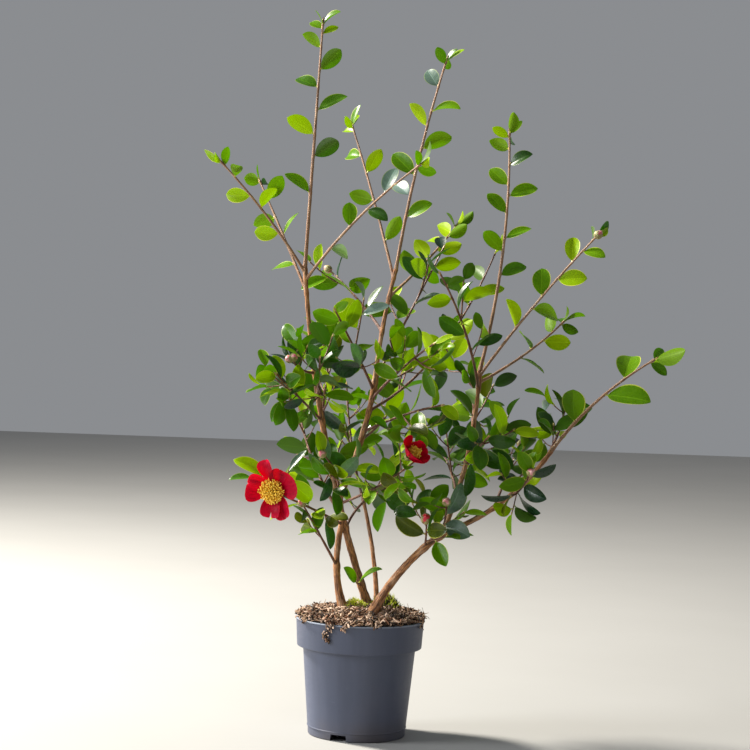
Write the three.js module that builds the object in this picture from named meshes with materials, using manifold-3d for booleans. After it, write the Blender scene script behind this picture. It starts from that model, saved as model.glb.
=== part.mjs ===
// A young camellia shrub in its two-litre nursery pot, in millimetres, +Z up.
// The origin is at the middle of the pot's flat underside, and -Y is the front.
// Four stems and four boughs carry the crown. Each mass of foliage is a shoot with
// side twigs, leaves and buds that a seeded rule deals out, fused into one solid.
import * as THREE from "three";
import { mergeVertices } from "three/addons/utils/BufferGeometryUtils.js";
import Module from "manifold-3d";

const wasm = await Module();
wasm.setup();

const GAP = 0.3; // air between two pieces that meet
const SCRAP = 1; // cubic mm, smaller loose bits are dropped

// Driving sizes of the pot
const RIM_RADIUS = 85;
const POT_HEIGHT = 153;
const LIP = { height: 2, overhang: 1, edge: 0.7 };
const BAND = { height: 37, bottomRadius: 82, step: 8, slope: 1.5 };
const FOOT = { radius: 64, height: 11, ringWidth: 3.5, channelHeight: 9, ledge: 1 };
const WALL = 1.7;
const CENTRE_PAD_RADIUS = 40;
const POT_SEGMENTS = 36;
const NOTCH = { width: 26, height: 8, depth: 12, count: 3, turn: 21.6 };
const DRAIN = { radius: 4, ring: 50, count: 6, sides: 8, depth: 7 };

// Driving sizes of the compost
const COMPOST = { dome: 10, rings: 4, segments: 24, slack: 0.4, lump: 2.2, shoulder: 3, bevel: 1.5,
  seed: 11 };
const MOSS = [
  { x: -8, y: 4, radius: 13, height: 8 },
  { x: 34, y: 22, radius: 17, height: 14 },
];
const MOUND_FALL = 2;

// Driving sizes of the foliage. LEAF_SIDE is a blade's outline on one side of its midrib,
// as shares of its length and of half its width.
const LEAF = { length: 46, slimness: 0.56, thickness: 0.62, fold: 0.13, droop: 0.16, sunk: 0.01,
  thickest: 0.36, young: 0.28, youngFrom: 0.7 };
const LEAF_SIDE = [[0.34, 0.9], [0.7, 0.86]];
const PROBE = { start: 0.24, swell: 1.05, thickness: 1.5, rootWidth: 0.3, tipWidth: 0.1,
  twigFrom: 0.25, twigExtra: 1 };
const BUD = { length: 12, radius: 4.6, sides: 6, rings: [[0.3, 0.85], [0.62, 0.95]], fan: 34, tilt: 0.35,
  seat: 0.97 };

// How leaves are dealt along an axis: shares of its length, degrees, and ranges to draw from
const SPRAY = { crowding: 0.75, jitter: 0.4, lastAt: 0.985, spread: [44, 66], lastSpread: [26, 46],
  roll: [40, 78], lengths: [0.86, 1.06], turnJitter: 26, steps: [0, 47, -47] };
const TWIG = { radii: [1.3, 0.9], bare: 0.3, leaves: 3, spread: 52, lift: 0.12, sections: 2, lowest: 0.8,
  highest: 0.86, jitter: 0.4, turnJitter: 40, lengths: [0.85, 1.15] };
const SEED = 5;
const GOLDEN_TURN = 137.5;
const HALF_TURN = 174;

// How finely the tubes are faceted
const TUBE = { twigSides: 3, shootSides: 4, limbSides: 7, rootedSections: 9, boughSections: 6,
  shootSection: 65, flareCrowding: 1.6 };

const deg = THREE.MathUtils.degToRad;
const vec = (p) => new THREE.Vector3(p[0], p[1], p[2]);
const UP = new THREE.Vector3(0, 0, 1);
const DEPTH = new THREE.Vector3(0, 1, 0);
const ACROSS = new THREE.Vector3(1, 0, 0);
const NEARLY_ALONG = 0.2;

// Stems and boughs: base, tip and sideways bow in mm, with radii at base and tip.
// A limb with a parent starts on its parent's axis, at that share of its length.
const LIMBS = {
  stem_left: { base: [-22, 0, 161], tip: [-27, 14, 282], bow: [-9, 0, -2], radii: [5.0, 3.6] },
  stem_centre: { base: [11, 25, 162], tip: [-88, -10, 610], bow: [-15, 0, -3], radii: [5.2, 2.6] },
  stem_right: { base: [14, -30, 160], tip: [107, -40, 275], bow: [-9, 0, 4], radii: [5.7, 4.4] },
  stem_back: { base: [22, 56, 156], tip: [-1, 66, 300], bow: [4, 0, 0], radii: [3.4, 2.3] },
  bough_inner: { on: "stem_centre", at: 0.325, tip: [8, -15, 458], bow: [4, 0, -2], radii: [4.0, 3.3] },
  bough_leader: { on: "bough_inner", at: 0.99, tip: [31, 4, 612], bow: [-3, 0, 2], radii: [3.1, 2.5] },
  bough_right_upper: { on: "stem_right", at: 0.97, tip: [145, -5, 483], bow: [9, 0, -2],
    radii: [3.4, 2.6] },
  bough_right_outer: { on: "stem_right", at: 0.97, tip: [238, -60, 385], bow: [9, 0, -11],
    radii: [3.7, 2.7] },
};
const GROUND_STEMS = ["stem_left", "stem_centre", "stem_right", "stem_back"];
const ROOT_FLARE = { gain: 0.7, height: 14 };

// The masses of foliage: the limb and share of its length where each shoot springs,
// its tip and bow in mm, and what grows on it. phase is the first leaf's turn in degrees,
// and seed picks one of the rule's ways of dealing its leaves.
const MASSES = {
  tall_leader: { on: "stem_centre", at: 1, tip: [-76, 15, 934], radii: [2.5, 1.2],
    bare: 0.22, leaves: 8, phase: 0, turn: HALF_TURN, seed: 22 },
  outer_left: { on: "stem_centre", at: 0.985, tip: [-201, -50, 743], bow: [4, 0, 3],
    bare: 0.22, leaves: 5, phase: -30, turn: HALF_TURN, size: 0.85, seed: 1 },
  upper_left: { on: "stem_centre", at: 0.93, tip: [-157, 90, 728], bow: [0, 0, 2],
    bare: 0.1, leaves: 5, phase: -10, turn: HALF_TURN, size: 0.9, seed: 26 },
  crossing: { on: "stem_centre", at: 0.965, tip: [58, -118, 744], bow: [-6, 0, 6],
    bare: 0.06, leaves: 6, phase: 150, turn: HALF_TURN, size: 0.9, seed: 18 },
  left_side: { on: "stem_centre", at: 0.56, tip: [-118, -80, 472],
    bare: 0.43, leaves: 5, twigs: 1, twigLength: 46, phase: 200, seed: 26 },
  left_front: { on: "stem_centre", at: 0.64, tip: [-62, -118, 496], bow: [0, 0, -6],
    bare: 0.25, leaves: 6, twigs: 2, twigLength: 44, phase: 30 },
  left_inner: { on: "stem_centre", at: 0.5, tip: [-43, 90, 501], bow: [-10, 0, 2],
    bare: 0.3, leaves: 6, twigs: 3, twigLength: 50, phase: 40 },
  left_buds: { on: "stem_centre", at: 0.7, tip: [-100, -44, 492], bow: [-3, 0, -5],
    bare: 0.4, leaves: 5, phase: 180, buds: 2 },
  flower_twig: { on: "stem_centre", at: 0.25, tip: [-114, -76, 320], bow: [0, 0, 2],
    bare: 0.3, leaves: 6, phase: 60, bloom: "open" },
  half_open_twig: { on: "stem_centre", at: 0.315, tip: [66, -124, 374], bow: [2, 0, -5],
    bare: 0.3, leaves: 7, phase: 100, bloom: "half" },
  inner_twig: { on: "stem_centre", at: 0.24, tip: [55, 100, 323], bow: [-10, 0, 11],
    bare: 0.35, leaves: 6, twigs: 2, twigLength: 48 },
  left_bud_twig: { on: "stem_centre", at: 0.33, tip: [-56, -70, 372], bow: [8, 0, 2],
    bare: 0.3, leaves: 6, twigs: 1, twigLength: 40, phase: 200, buds: 1 },
  low_left: { on: "stem_left", at: 0.5, tip: [-80, -54, 306], bow: [2, 0, -3],
    bare: 0.5, leaves: 6, phase: 20, buds: 1, size: 0.85 },
  back_left: { on: "stem_left", at: 1, tip: [-96, 128, 428], bow: [-8, 0, -6], radii: [2.6, 1.2],
    bare: 0.25, leaves: 6, twigs: 3, twigLength: 62, phase: 70 },
  back_centre: { on: "stem_back", at: 1, tip: [-30, 160, 452], bow: [-4, 8, -6],
    bare: 0.2, leaves: 6, twigs: 3, twigLength: 62, phase: 10 },
  low_shoot: { on: "stem_centre", at: 0.07, tip: [-6, -4, 199], radii: [1.4, 1.0],
    bare: 0.52, leaves: 2, seed: 41, phase: 120 },
  inner_left_leader: { on: "bough_inner", at: 0.97, tip: [-45, -110, 556], bow: [1, 0, 0],
    bare: 0.2, leaves: 7, twigs: 3, twigLength: 50, phase: 10 },
  inner_front: { on: "bough_inner", at: 0.9, tip: [80, -120, 518], bow: [-2, 0, 3],
    bare: 0.2, leaves: 7, twigs: 3, twigLength: 50, phase: 150 },
  inner_right: { on: "bough_leader", at: 0.06, tip: [94, 60, 644],
    bare: 0.2, leaves: 7, twigs: 2, twigLength: 48, phase: 210, seed: 3 },
  right_crossing: { on: "bough_inner", at: 0.8, tip: [168, 120, 644], bow: [8, 0, -28],
    bare: 0.35, leaves: 7, twigs: 1, twigLength: 50, phase: -20, seed: 22 },
  middle_front: { on: "bough_inner", at: 0.62, tip: [94, -86, 440], bow: [0, 0, 4],
    bare: 0.25, leaves: 7, twigs: 1, twigLength: 48, phase: 60 },
  back_middle: { on: "bough_inner", at: 0.55, tip: [52, 180, 474], bow: [6, 0, -10],
    bare: 0.3, leaves: 6, twigs: 3, twigLength: 58, phase: 80 },
  centre_top: { on: "bough_leader", at: 1, tip: [88, 10, 890], bow: [-5, 0, 0], radii: [2.3, 1.2],
    bare: 0.16, leaves: 7, phase: 165, turn: HALF_TURN, seed: 34 },
  centre_left: { on: "bough_leader", at: 0.46, tip: [-59, 108, 610], bow: [3, 0, 2],
    bare: 0.2, leaves: 7, twigs: 2, twigLength: 48, phase: 180, buds: 1 },
  dark_leader: { on: "bough_leader", at: 0.92, tip: [-35, 122, 810], bow: [2, 0, 0],
    bare: 0.12, leaves: 5, phase: 165, turn: HALF_TURN, size: 0.9, seed: 39 },
  centre_right: { on: "bough_leader", at: 0.76, tip: [115, 128, 680], bow: [3, 0, -2],
    bare: 0.2, leaves: 8, phase: -20, turn: HALF_TURN, size: 0.9, seed: 9 },
  right_top: { on: "bough_right_upper", at: 1, tip: [174, 20, 800], bow: [11, 0, -1], radii: [2.5, 1.2],
    bare: 0.3, leaves: 9, phase: 180, turn: HALF_TURN, size: 0.9, seed: 13 },
  right_outer_leader: { on: "bough_right_upper", at: 0.97, tip: [289, -60, 666], bow: [-3, 0, 3],
    bare: 0.18, leaves: 7, phase: -15, turn: HALF_TURN, buds: 1, size: 0.95, seed: 12 },
  right_low_leader: { on: "bough_right_upper", at: 0.93, tip: [262, 90, 552], bow: [6, 0, -2],
    bare: 0.28, leaves: 5, phase: 150, turn: HALF_TURN, size: 0.95, seed: 10 },
  right_front: { on: "bough_right_upper", at: 0.9, tip: [85, -128, 606], bow: [6, 0, 3],
    bare: 0.2, leaves: 7, phase: 180, size: 0.9 },
  right_inner: { on: "bough_right_upper", at: 0.45, tip: [154, -112, 404],
    bare: 0.3, leaves: 6, twigs: 2, twigLength: 44 },
  right_back: { on: "bough_right_upper", at: 0.6, tip: [148, 168, 482], bow: [0, 0, -8],
    bare: 0.2, leaves: 6, twigs: 3, twigLength: 60, phase: 40 },
  fork_twig: { on: "bough_right_upper", at: 0.24, tip: [105, 62, 366], bow: [2, 0, 1],
    bare: 0.3, leaves: 6, twigs: 2, twigLength: 46 },
  red_bud_twig: { on: "stem_right", at: 0.78, tip: [80, -76, 292], bow: [1, 0, 0], radii: [1.5, 1.0],
    bare: 0.3, leaves: 4, buds: 1 },
  pink_bud_twig: { on: "stem_right", at: 0.93, tip: [104, -98, 318], bow: [3, 0, -1], radii: [1.5, 1.0],
    bare: 0.3, leaves: 4, phase: 90, buds: 1 },
  outer_tip: { on: "bough_right_outer", at: 1, tip: [366, -70, 508], bow: [-7, 0, 6], radii: [2.5, 1.2],
    bare: 0.12, leaves: 4, phase: -40, turn: HALF_TURN, size: 1.3, seed: 10 },
  outer_upper: { on: "bough_right_outer", at: 0.92, tip: [262, 24, 444], bow: [4, 0, -2],
    bare: 0.3, leaves: 6 },
  outer_inner: { on: "bough_right_outer", at: 0.42, tip: [205, 44, 384], bow: [-1, 0, 1],
    bare: 0.25, leaves: 6, twigs: 2, twigLength: 46, phase: 60, buds: 1 },
  outer_front: { on: "bough_right_outer", at: 0.6, tip: [206, -146, 364], bow: [0, 0, -6],
    bare: 0.3, leaves: 6, twigs: 1, twigLength: 42, buds: 1 },
};
const SHOOT = { radii: [2.0, 1.1], bow: [0, 0, 0], bare: 0.25, leaves: 6, twigs: 0, twigLength: 45,
  phase: 0, turn: GOLDEN_TURN, buds: 0, size: 1, seed: 0 };

// Blooms: a ring of petals round a boss of stamens, facing along axis
const BLOOMS = {
  open: { axis: [-0.3, -0.93, -0.14], petals: 6, length: 35, slimness: 0.66, open: 78, boss: [8, 12] },
  half: { axis: [0.42, -0.8, 0.3], petals: 5, length: 24, slimness: 0.8, open: 44, boss: [5, 12] },
};
const CALYX = { length: 12, radius: 4.5, sunk: 5 };
const BOSS = { sides: 6, foot: 0.5, lift: 2 };
const PETAL_SWAY = 4;

const COLOURS = {
  pot: { color: 0x6f7b8c, roughness: 0.55 },
  compost: { color: 0x6b4a2c, roughness: 0.95 },
  bark: { color: 0x9a6a45, roughness: 0.8 },
  foliage: { color: 0x3f7a2a, roughness: 0.4 },
};

// A repeatable source of numbers from 0 to 1
function randomFrom(seed) {
  let state = seed >>> 0;
  return () => {
    state = (state + 0x6d2b79f5) >>> 0;
    let z = state;
    z = Math.imul(z ^ (z >>> 15), z | 1);
    z ^= z + Math.imul(z ^ (z >>> 7), z | 61);
    return ((z ^ (z >>> 14)) >>> 0) / 4294967296;
  };
}

function between(random, [low, high]) {
  return low + (high - low) * random();
}

// Closed geometry from points and triangles
function closedGeometry(points, triangles) {
  const geometry = new THREE.BufferGeometry();
  geometry.setAttribute("position", new THREE.Float32BufferAttribute(points.flatMap((p) => p.toArray()), 3));
  geometry.setIndex(triangles.flat());
  return geometry;
}

function solidOf(geometry) {
  const bare = geometry.clone();
  bare.deleteAttribute("normal");
  bare.deleteAttribute("uv");
  const merged = mergeVertices(bare, 1e-4);
  const vertProperties = new Float32Array(merged.attributes.position.array);
  const triVerts = new Uint32Array(merged.index.array);
  return new wasm.Manifold(new wasm.Mesh({ numProp: 3, vertProperties, triVerts }));
}

function geometryOf(solid) {
  const mesh = solid.getMesh();
  const geometry = new THREE.BufferGeometry();
  geometry.setAttribute("position", new THREE.BufferAttribute(new Float32Array(mesh.vertProperties), 3));
  geometry.setIndex(new THREE.BufferAttribute(new Uint32Array(mesh.triVerts), 1));
  return geometry;
}

// The largest connected body of a solid
function mainBody(solid) {
  const bodies = solid.decompose().filter((body) => body.volume() > SCRAP);
  return bodies.reduce((best, body) => (body.volume() > best.volume() ? body : best));
}

// A limb is a straight line with a bow, and its radius tapers from base to tip.
function limbPoint(limb, t) {
  return limb.base.clone().lerp(limb.tip, t).addScaledVector(limb.bow, 4 * t * (1 - t));
}

function limbDirection(limb, t) {
  return limb.tip.clone().sub(limb.base).addScaledVector(limb.bow, 4 - 8 * t).normalize();
}

function limbRadius(limb, t) {
  const radius = limb.radii[0] + (limb.radii[1] - limb.radii[0]) * t;
  if (!limb.rooted) return radius;
  const height = t * limb.tip.distanceTo(limb.base);
  return radius * (1 + ROOT_FLARE.gain * Math.exp(-height / ROOT_FLARE.height));
}

// Two directions square to a limb's own: side lies in the front view, near faces the front.
function acrossLimb(direction) {
  let side = direction.clone().cross(DEPTH);
  if (side.length() < NEARLY_ALONG) side = direction.clone().cross(ACROSS);
  side.normalize();
  return { side, near: direction.clone().cross(side).normalize() };
}

// Where a ring, a fan or a spray points to at an angle round a limb
function outward(direction, angle) {
  const { side, near } = acrossLimb(direction);
  return side.multiplyScalar(Math.cos(angle)).addScaledVector(near, Math.sin(angle));
}

// A direction leant away from another towards out by an angle
function leant(direction, out, angle) {
  return direction.clone().multiplyScalar(Math.cos(angle)).addScaledVector(out, Math.sin(angle));
}

// A tapering tube round a limb, closed at both ends. extra widens and lengthens it.
function limbGeometry(limb, sides, sections, extra = 0) {
  const points = [];
  for (let i = 0; i <= sections; i += 1) {
    const t = (i / sections) ** (limb.rooted ? TUBE.flareCrowding : 1);
    const centre = limbPoint(limb, t);
    const flat = limb.rooted && i === 0;
    const direction = flat ? UP.clone() : limbDirection(limb, t);
    if (i === 0) centre.addScaledVector(direction, -extra);
    if (i === sections) centre.addScaledVector(direction, extra);
    const radius = limbRadius(limb, t) + extra;
    for (let k = 0; k < sides; k += 1) {
      points.push(centre.clone().addScaledVector(outward(direction, (2 * Math.PI * k) / sides), radius));
    }
  }
  return closedGeometry(points, tubeTriangles(sides, sections));
}

function tubeTriangles(sides, sections) {
  const triangles = [];
  for (let i = 0; i < sections; i += 1) {
    for (let k = 0; k < sides; k += 1) {
      const a = i * sides + k;
      const b = i * sides + ((k + 1) % sides);
      triangles.push([a, b, b + sides], [a, b + sides, a + sides]);
    }
  }
  const last = sections * sides;
  for (let k = 1; k < sides - 1; k += 1) {
    triangles.push([0, k + 1, k], [last, last + k, last + k + 1]);
  }
  return triangles;
}

// A leaf grows from its root along axis, with its upper side towards face.
// along and across are shares of its length and of half its width.
function leafPoint(leaf, along, across, height) {
  const side = leaf.axis.clone().cross(leaf.face);
  const lift = leaf.length * (LEAF.fold * Math.abs(across) * leaf.slimness - LEAF.droop * along * along);
  return leaf.root.clone()
    .addScaledVector(leaf.axis, leaf.length * along)
    .addScaledVector(side, 0.5 * leaf.length * leaf.slimness * across)
    .addScaledVector(leaf.face, lift + height);
}

// A blade's outline from root to tip along one side and back along the other
function bladeRim(rootPoints, tipPoints) {
  const back = LEAF_SIDE.map(([along, across]) => [along, -across]).reverse();
  return [...rootPoints, ...LEAF_SIDE, ...tipPoints, ...back];
}

function leafGeometry(leaf) {
  const rim = bladeRim([[-LEAF.sunk, 0]], [[1, 0]]);
  const points = rim.map(([along, across]) => leafPoint(leaf, along, across, 0));
  const over = points.push(leafPoint(leaf, LEAF.thickest, 0, LEAF.thickness / 2)) - 1;
  const under = points.push(leafPoint(leaf, LEAF.thickest, 0, -LEAF.thickness / 2)) - 1;
  const triangles = rim.flatMap((_, i) => {
    const next = (i + 1) % rim.length;
    return [[over, i, next], [under, next, i]];
  });
  return closedGeometry(points, triangles);
}

// A slightly swollen blade without its root, to feel for neighbours with
function probeGeometry(leaf) {
  const half = PROBE.thickness / 2;
  const { start, swell, rootWidth, tipWidth } = PROBE;
  const rim = bladeRim([[start, -rootWidth], [start, rootWidth]], [[swell, tipWidth], [swell, -tipWidth]]);
  const over = rim.map(([along, across]) => leafPoint(leaf, along, across * swell, half));
  const under = rim.map(([along, across]) => leafPoint(leaf, along, across * swell, -half));
  const points = [...over, ...under, leafPoint(leaf, 0.5, 0, half), leafPoint(leaf, 0.5, 0, -half)];
  const count = rim.length;
  const triangles = [];
  for (let i = 0; i < count; i += 1) {
    const j = (i + 1) % count;
    triangles.push([2 * count, i, j], [2 * count + 1, count + j, count + i]);
    triangles.push([i, count + i, count + j], [i, count + j, j]);
  }
  return closedGeometry(points, triangles);
}

// A spindle such as a flower bud, from its root along axis
function budGeometry(root, axis, length, radius) {
  const points = [root.clone()];
  for (const [along, share] of BUD.rings) {
    for (let k = 0; k < BUD.sides; k += 1) {
      points.push(root.clone().addScaledVector(axis, length * along)
        .addScaledVector(outward(axis, (2 * Math.PI * k) / BUD.sides), radius * share));
    }
  }
  points.push(root.clone().addScaledVector(axis, length));
  return closedGeometry(points, bagTriangles(BUD.sides, BUD.rings.length));
}

// Triangles of a stack of rings that closes on a point at both ends
function bagTriangles(segments, rings) {
  const triangles = [];
  const last = rings * segments + 1;
  for (let k = 0; k < segments; k += 1) {
    const next = (k + 1) % segments;
    triangles.push([0, 1 + next, 1 + k]);
    for (let i = 0; i < rings - 1; i += 1) {
      const a = 1 + i * segments + k;
      const b = 1 + i * segments + next;
      triangles.push([a, b, b + segments], [a, b + segments, a + segments]);
    }
    const top = 1 + (rings - 1) * segments;
    triangles.push([top + k, top + next, last]);
  }
  return triangles;
}

// What has been placed so far, for a new twig or leaf to keep clear of
const placed = [];

function boxesMeet(a, b) {
  return [0, 1, 2].every((i) => a.min[i] <= b.max[i] && b.min[i] <= a.max[i]);
}

function place(solid) {
  placed.push({ solid, box: solid.boundingBox() });
}

function touches(probe) {
  const box = probe.boundingBox();
  return placed.some((other) => boxesMeet(box, other.box) && probe.intersect(other.solid).volume() > 0);
}

// The pot: walls turned on its axis, with drain holes and notches in its foot ring
function potGeometry() {
  const bandBottom = POT_HEIGHT - BAND.height;
  const stepRadius = BAND.bottomRadius - BAND.step;
  const ringInside = FOOT.radius - FOOT.ringWidth;
  const channelFloor = FOOT.channelHeight + WALL;
  const outline = [
    [0, 0], [CENTRE_PAD_RADIUS, 0], [CENTRE_PAD_RADIUS, FOOT.channelHeight],
    [ringInside, FOOT.channelHeight], [ringInside, 0], [FOOT.radius, 0],
    [FOOT.radius, FOOT.height - FOOT.ledge], [FOOT.radius + FOOT.ledge, FOOT.height],
    [stepRadius, bandBottom - BAND.slope], [BAND.bottomRadius, bandBottom],
    [RIM_RADIUS - LIP.overhang, POT_HEIGHT - LIP.height],
    [RIM_RADIUS, POT_HEIGHT - LIP.height * LIP.edge], [RIM_RADIUS, POT_HEIGHT],
    [RIM_RADIUS - LIP.overhang - WALL, POT_HEIGHT],
    [BAND.bottomRadius - WALL, bandBottom + WALL], [stepRadius - WALL, bandBottom],
    [FOOT.radius + FOOT.ledge - WALL, FOOT.height + WALL], [FOOT.radius - WALL, channelFloor],
    [CENTRE_PAD_RADIUS - WALL, channelFloor], [CENTRE_PAD_RADIUS - WALL, WALL], [0, WALL],
  ].map(([x, y]) => new THREE.Vector2(x, y));
  const turned = new THREE.LatheGeometry(outline, POT_SEGMENTS).rotateX(Math.PI / 2);
  let pot = solidOf(turned);
  for (let i = 0; i < NOTCH.count; i += 1) {
    pot = pot.subtract(solidOf(notchGeometry(i)));
  }
  for (let i = 0; i < DRAIN.count; i += 1) {
    const hole = new THREE.CylinderGeometry(DRAIN.radius, DRAIN.radius, DRAIN.depth, DRAIN.sides)
      .rotateX(Math.PI / 2).translate(DRAIN.ring, 0, channelFloor)
      .rotateZ((2 * Math.PI * (i + 0.5)) / DRAIN.count);
    pot = pot.subtract(solidOf(hole));
  }
  return geometryOf(pot);
}

function notchGeometry(i) {
  const front = -90 - NOTCH.turn;
  return new THREE.BoxGeometry(NOTCH.depth, NOTCH.width, 2 * NOTCH.height)
    .translate(FOOT.radius - FOOT.ringWidth / 2, 0, 0)
    .rotateZ(deg(front + (360 * i) / NOTCH.count));
}

// The compost fills the pot and is domed over the rim, with mossy mounds on it.
function compostHeight(x, y, random) {
  const r = Math.hypot(x, y) / RIM_RADIUS;
  let height = POT_HEIGHT + COMPOST.dome * (1 - r * r) + COMPOST.lump * (random() - 0.5);
  for (const moss of MOSS) {
    const away = Math.hypot(x - moss.x, y - moss.y) / moss.radius;
    height += moss.height * Math.exp(-away * away * MOUND_FALL);
  }
  return height;
}

function compostGeometry() {
  const random = randomFrom(COMPOST.seed);
  const bandBottom = POT_HEIGHT - BAND.height;
  const inside = WALL + GAP + COMPOST.slack;
  const floor = FOOT.channelHeight + WALL + GAP;
  const stepRadius = BAND.bottomRadius - BAND.step;
  const mouth = RIM_RADIUS - LIP.overhang - inside;
  const walls = [
    [CENTRE_PAD_RADIUS - inside, WALL + GAP], [CENTRE_PAD_RADIUS - inside, floor],
    [FOOT.radius - inside, floor], [FOOT.radius + FOOT.ledge - inside, FOOT.height + inside],
    [stepRadius - inside, bandBottom + 2 * GAP], [BAND.bottomRadius - inside, bandBottom + WALL + 3 * GAP],
    [mouth - GAP, POT_HEIGHT - COMPOST.shoulder],
  ];
  const points = [new THREE.Vector3(0, 0, WALL + GAP)];
  const ring = (radius, height) => {
    for (let k = 0; k < COMPOST.segments; k += 1) {
      const angle = (2 * Math.PI * k) / COMPOST.segments;
      const x = radius * Math.cos(angle);
      const y = radius * Math.sin(angle);
      points.push(new THREE.Vector3(x, y, height ?? compostHeight(x, y, random)));
    }
  };
  walls.forEach(([radius, height]) => ring(radius, height));
  for (let i = COMPOST.rings; i > 0; i -= 1) {
    ring(((mouth - COMPOST.bevel) * i) / COMPOST.rings, null);
  }
  points.push(new THREE.Vector3(0, 0, compostHeight(0, 0, random)));
  return closedGeometry(points, bagTriangles(COMPOST.segments, walls.length + COMPOST.rings));
}

// Fills in a limb's vectors, and its base on its parent
function readLimb(size, limbs) {
  const base = size.on ? limbPoint(limbs[size.on], size.at) : vec(size.base);
  return { ...size, base, tip: vec(size.tip), bow: vec(size.bow) };
}

function buildLimbs() {
  const limbs = {};
  for (const [name, size] of Object.entries(LIMBS)) {
    const limb = readLimb(size, limbs);
    limb.rooted = !size.on;
    const sections = limb.rooted ? TUBE.rootedSections : TUBE.boughSections;
    const whole = solidOf(limbGeometry(limb, TUBE.limbSides, sections));
    limb.solid = mainBody(Object.values(limbs).reduce((solid, other) => solid.subtract(other.grown), whole));
    limb.grown = solidOf(limbGeometry(limb, TUBE.limbSides, sections, GAP));
    limbs[name] = limb;
    place(limb.solid);
  }
  return limbs;
}

// A leaf that leaves an axis at t, turned round it, leant from it and rolled about itself
function leafAt(axis, t, turn, spread, roll, length) {
  const direction = limbDirection(axis, t);
  const out = outward(direction, turn);
  const along = leant(direction, out, spread);
  const inward = leant(direction, out, spread - Math.PI / 2);
  const face = leant(inward, along.clone().cross(inward), roll);
  return { root: limbPoint(axis, t), axis: along, face, length, slimness: LEAF.slimness };
}

// Leaves along an axis, closer and smaller towards its tip, each a turn on from the last.
// A leaf that would touch something tries a step either way round, and is then left out.
function growLeaves(axis, size, phase, random, mass) {
  for (let i = 0; i < size.leaves; i += 1) {
    const last = i === size.leaves - 1;
    const dealt = (i + 0.5 + SPRAY.jitter * (random() - 0.5)) / size.leaves;
    const share = Math.min(1, dealt) ** SPRAY.crowding;
    const t = last ? SPRAY.lastAt : size.bare + (1 - size.bare) * share;
    const spread = deg(between(random, last ? SPRAY.lastSpread : SPRAY.spread));
    const roll = deg((random() < 0.5 ? -1 : 1) * between(random, SPRAY.roll));
    const young = 1 - LEAF.young * Math.max(0, (t - LEAF.youngFrom) / (1 - LEAF.youngFrom));
    const length = LEAF.length * size.size * between(random, SPRAY.lengths) * young;
    const start = phase + size.turn * i + SPRAY.turnJitter * (random() - 0.5);
    for (const step of SPRAY.steps) {
      const leaf = leafAt(axis, t, deg(start + step), spread, roll, length);
      if (!touches(solidOf(probeGeometry(leaf)))) {
        addPart(mass, leafGeometry(leaf));
        break;
      }
    }
  }
}

function addPart(mass, geometry) {
  const solid = solidOf(geometry);
  mass.parts.push(solid);
  place(solid);
}

// A side twig that leaves the shoot at t and lifts towards the light
function twigAt(shoot, t, turn, length) {
  const direction = limbDirection(shoot, t);
  const along = leant(direction, outward(direction, turn), deg(TWIG.spread));
  const base = limbPoint(shoot, t);
  const lift = length * TWIG.lift;
  const tip = base.clone().addScaledVector(along, length).addScaledVector(UP, lift);
  return { base, tip, bow: UP.clone().multiplyScalar(-lift / 2), radii: TWIG.radii };
}

// The part of a twig beyond its root, to feel for neighbours with
function outerPart(twig) {
  const bow = twig.bow.clone().multiplyScalar((1 - PROBE.twigFrom) ** 2);
  return { ...twig, base: limbPoint(twig, PROBE.twigFrom), bow };
}

// Side twigs dealt along a shoot. Each has a stream of numbers of its own.
function growTwigs(shoot, size, mass) {
  const lowest = size.bare * TWIG.lowest;
  for (let i = 0; i < size.twigs; i += 1) {
    const random = streamOf(mass, i + 1);
    const dealt = (i + 0.5 + TWIG.jitter * (random() - 0.5)) / size.twigs;
    const turn = deg(size.phase + 90 + GOLDEN_TURN * i + TWIG.turnJitter * (random() - 0.5));
    const length = size.twigLength * between(random, TWIG.lengths);
    const twig = twigAt(shoot, lowest + (TWIG.highest - lowest) * dealt, turn, length);
    const phase = 360 * random();
    const probe = limbGeometry(outerPart(twig), TUBE.twigSides, TWIG.sections, PROBE.twigExtra);
    if (!touches(solidOf(probe))) {
      addPart(mass, limbGeometry(twig, TUBE.twigSides, TWIG.sections));
      growLeaves(twig, { ...TWIG, turn: GOLDEN_TURN, size: size.size }, phase, random, mass);
    }
  }
}

// The numbers that deal out a mass's own leaves, or those of one of its twigs
function streamOf(mass, twig = 0) {
  return randomFrom(SEED + mass.index + 100 * mass.size.seed + 10000 * twig);
}

// Flower buds in a fan at the shoot's tip
function growBuds(shoot, count, mass) {
  const direction = limbDirection(shoot, 1);
  const { side, near } = acrossLimb(direction);
  for (let i = 0; i < count; i += 1) {
    const lean = count > 1 ? deg(BUD.fan * ((2 * i) / (count - 1) - 1)) : 0;
    const axis = leant(direction, side, lean).addScaledVector(near, BUD.tilt).normalize();
    addPart(mass, budGeometry(limbPoint(shoot, BUD.seat), axis, BUD.length, BUD.radius));
  }
}

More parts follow.
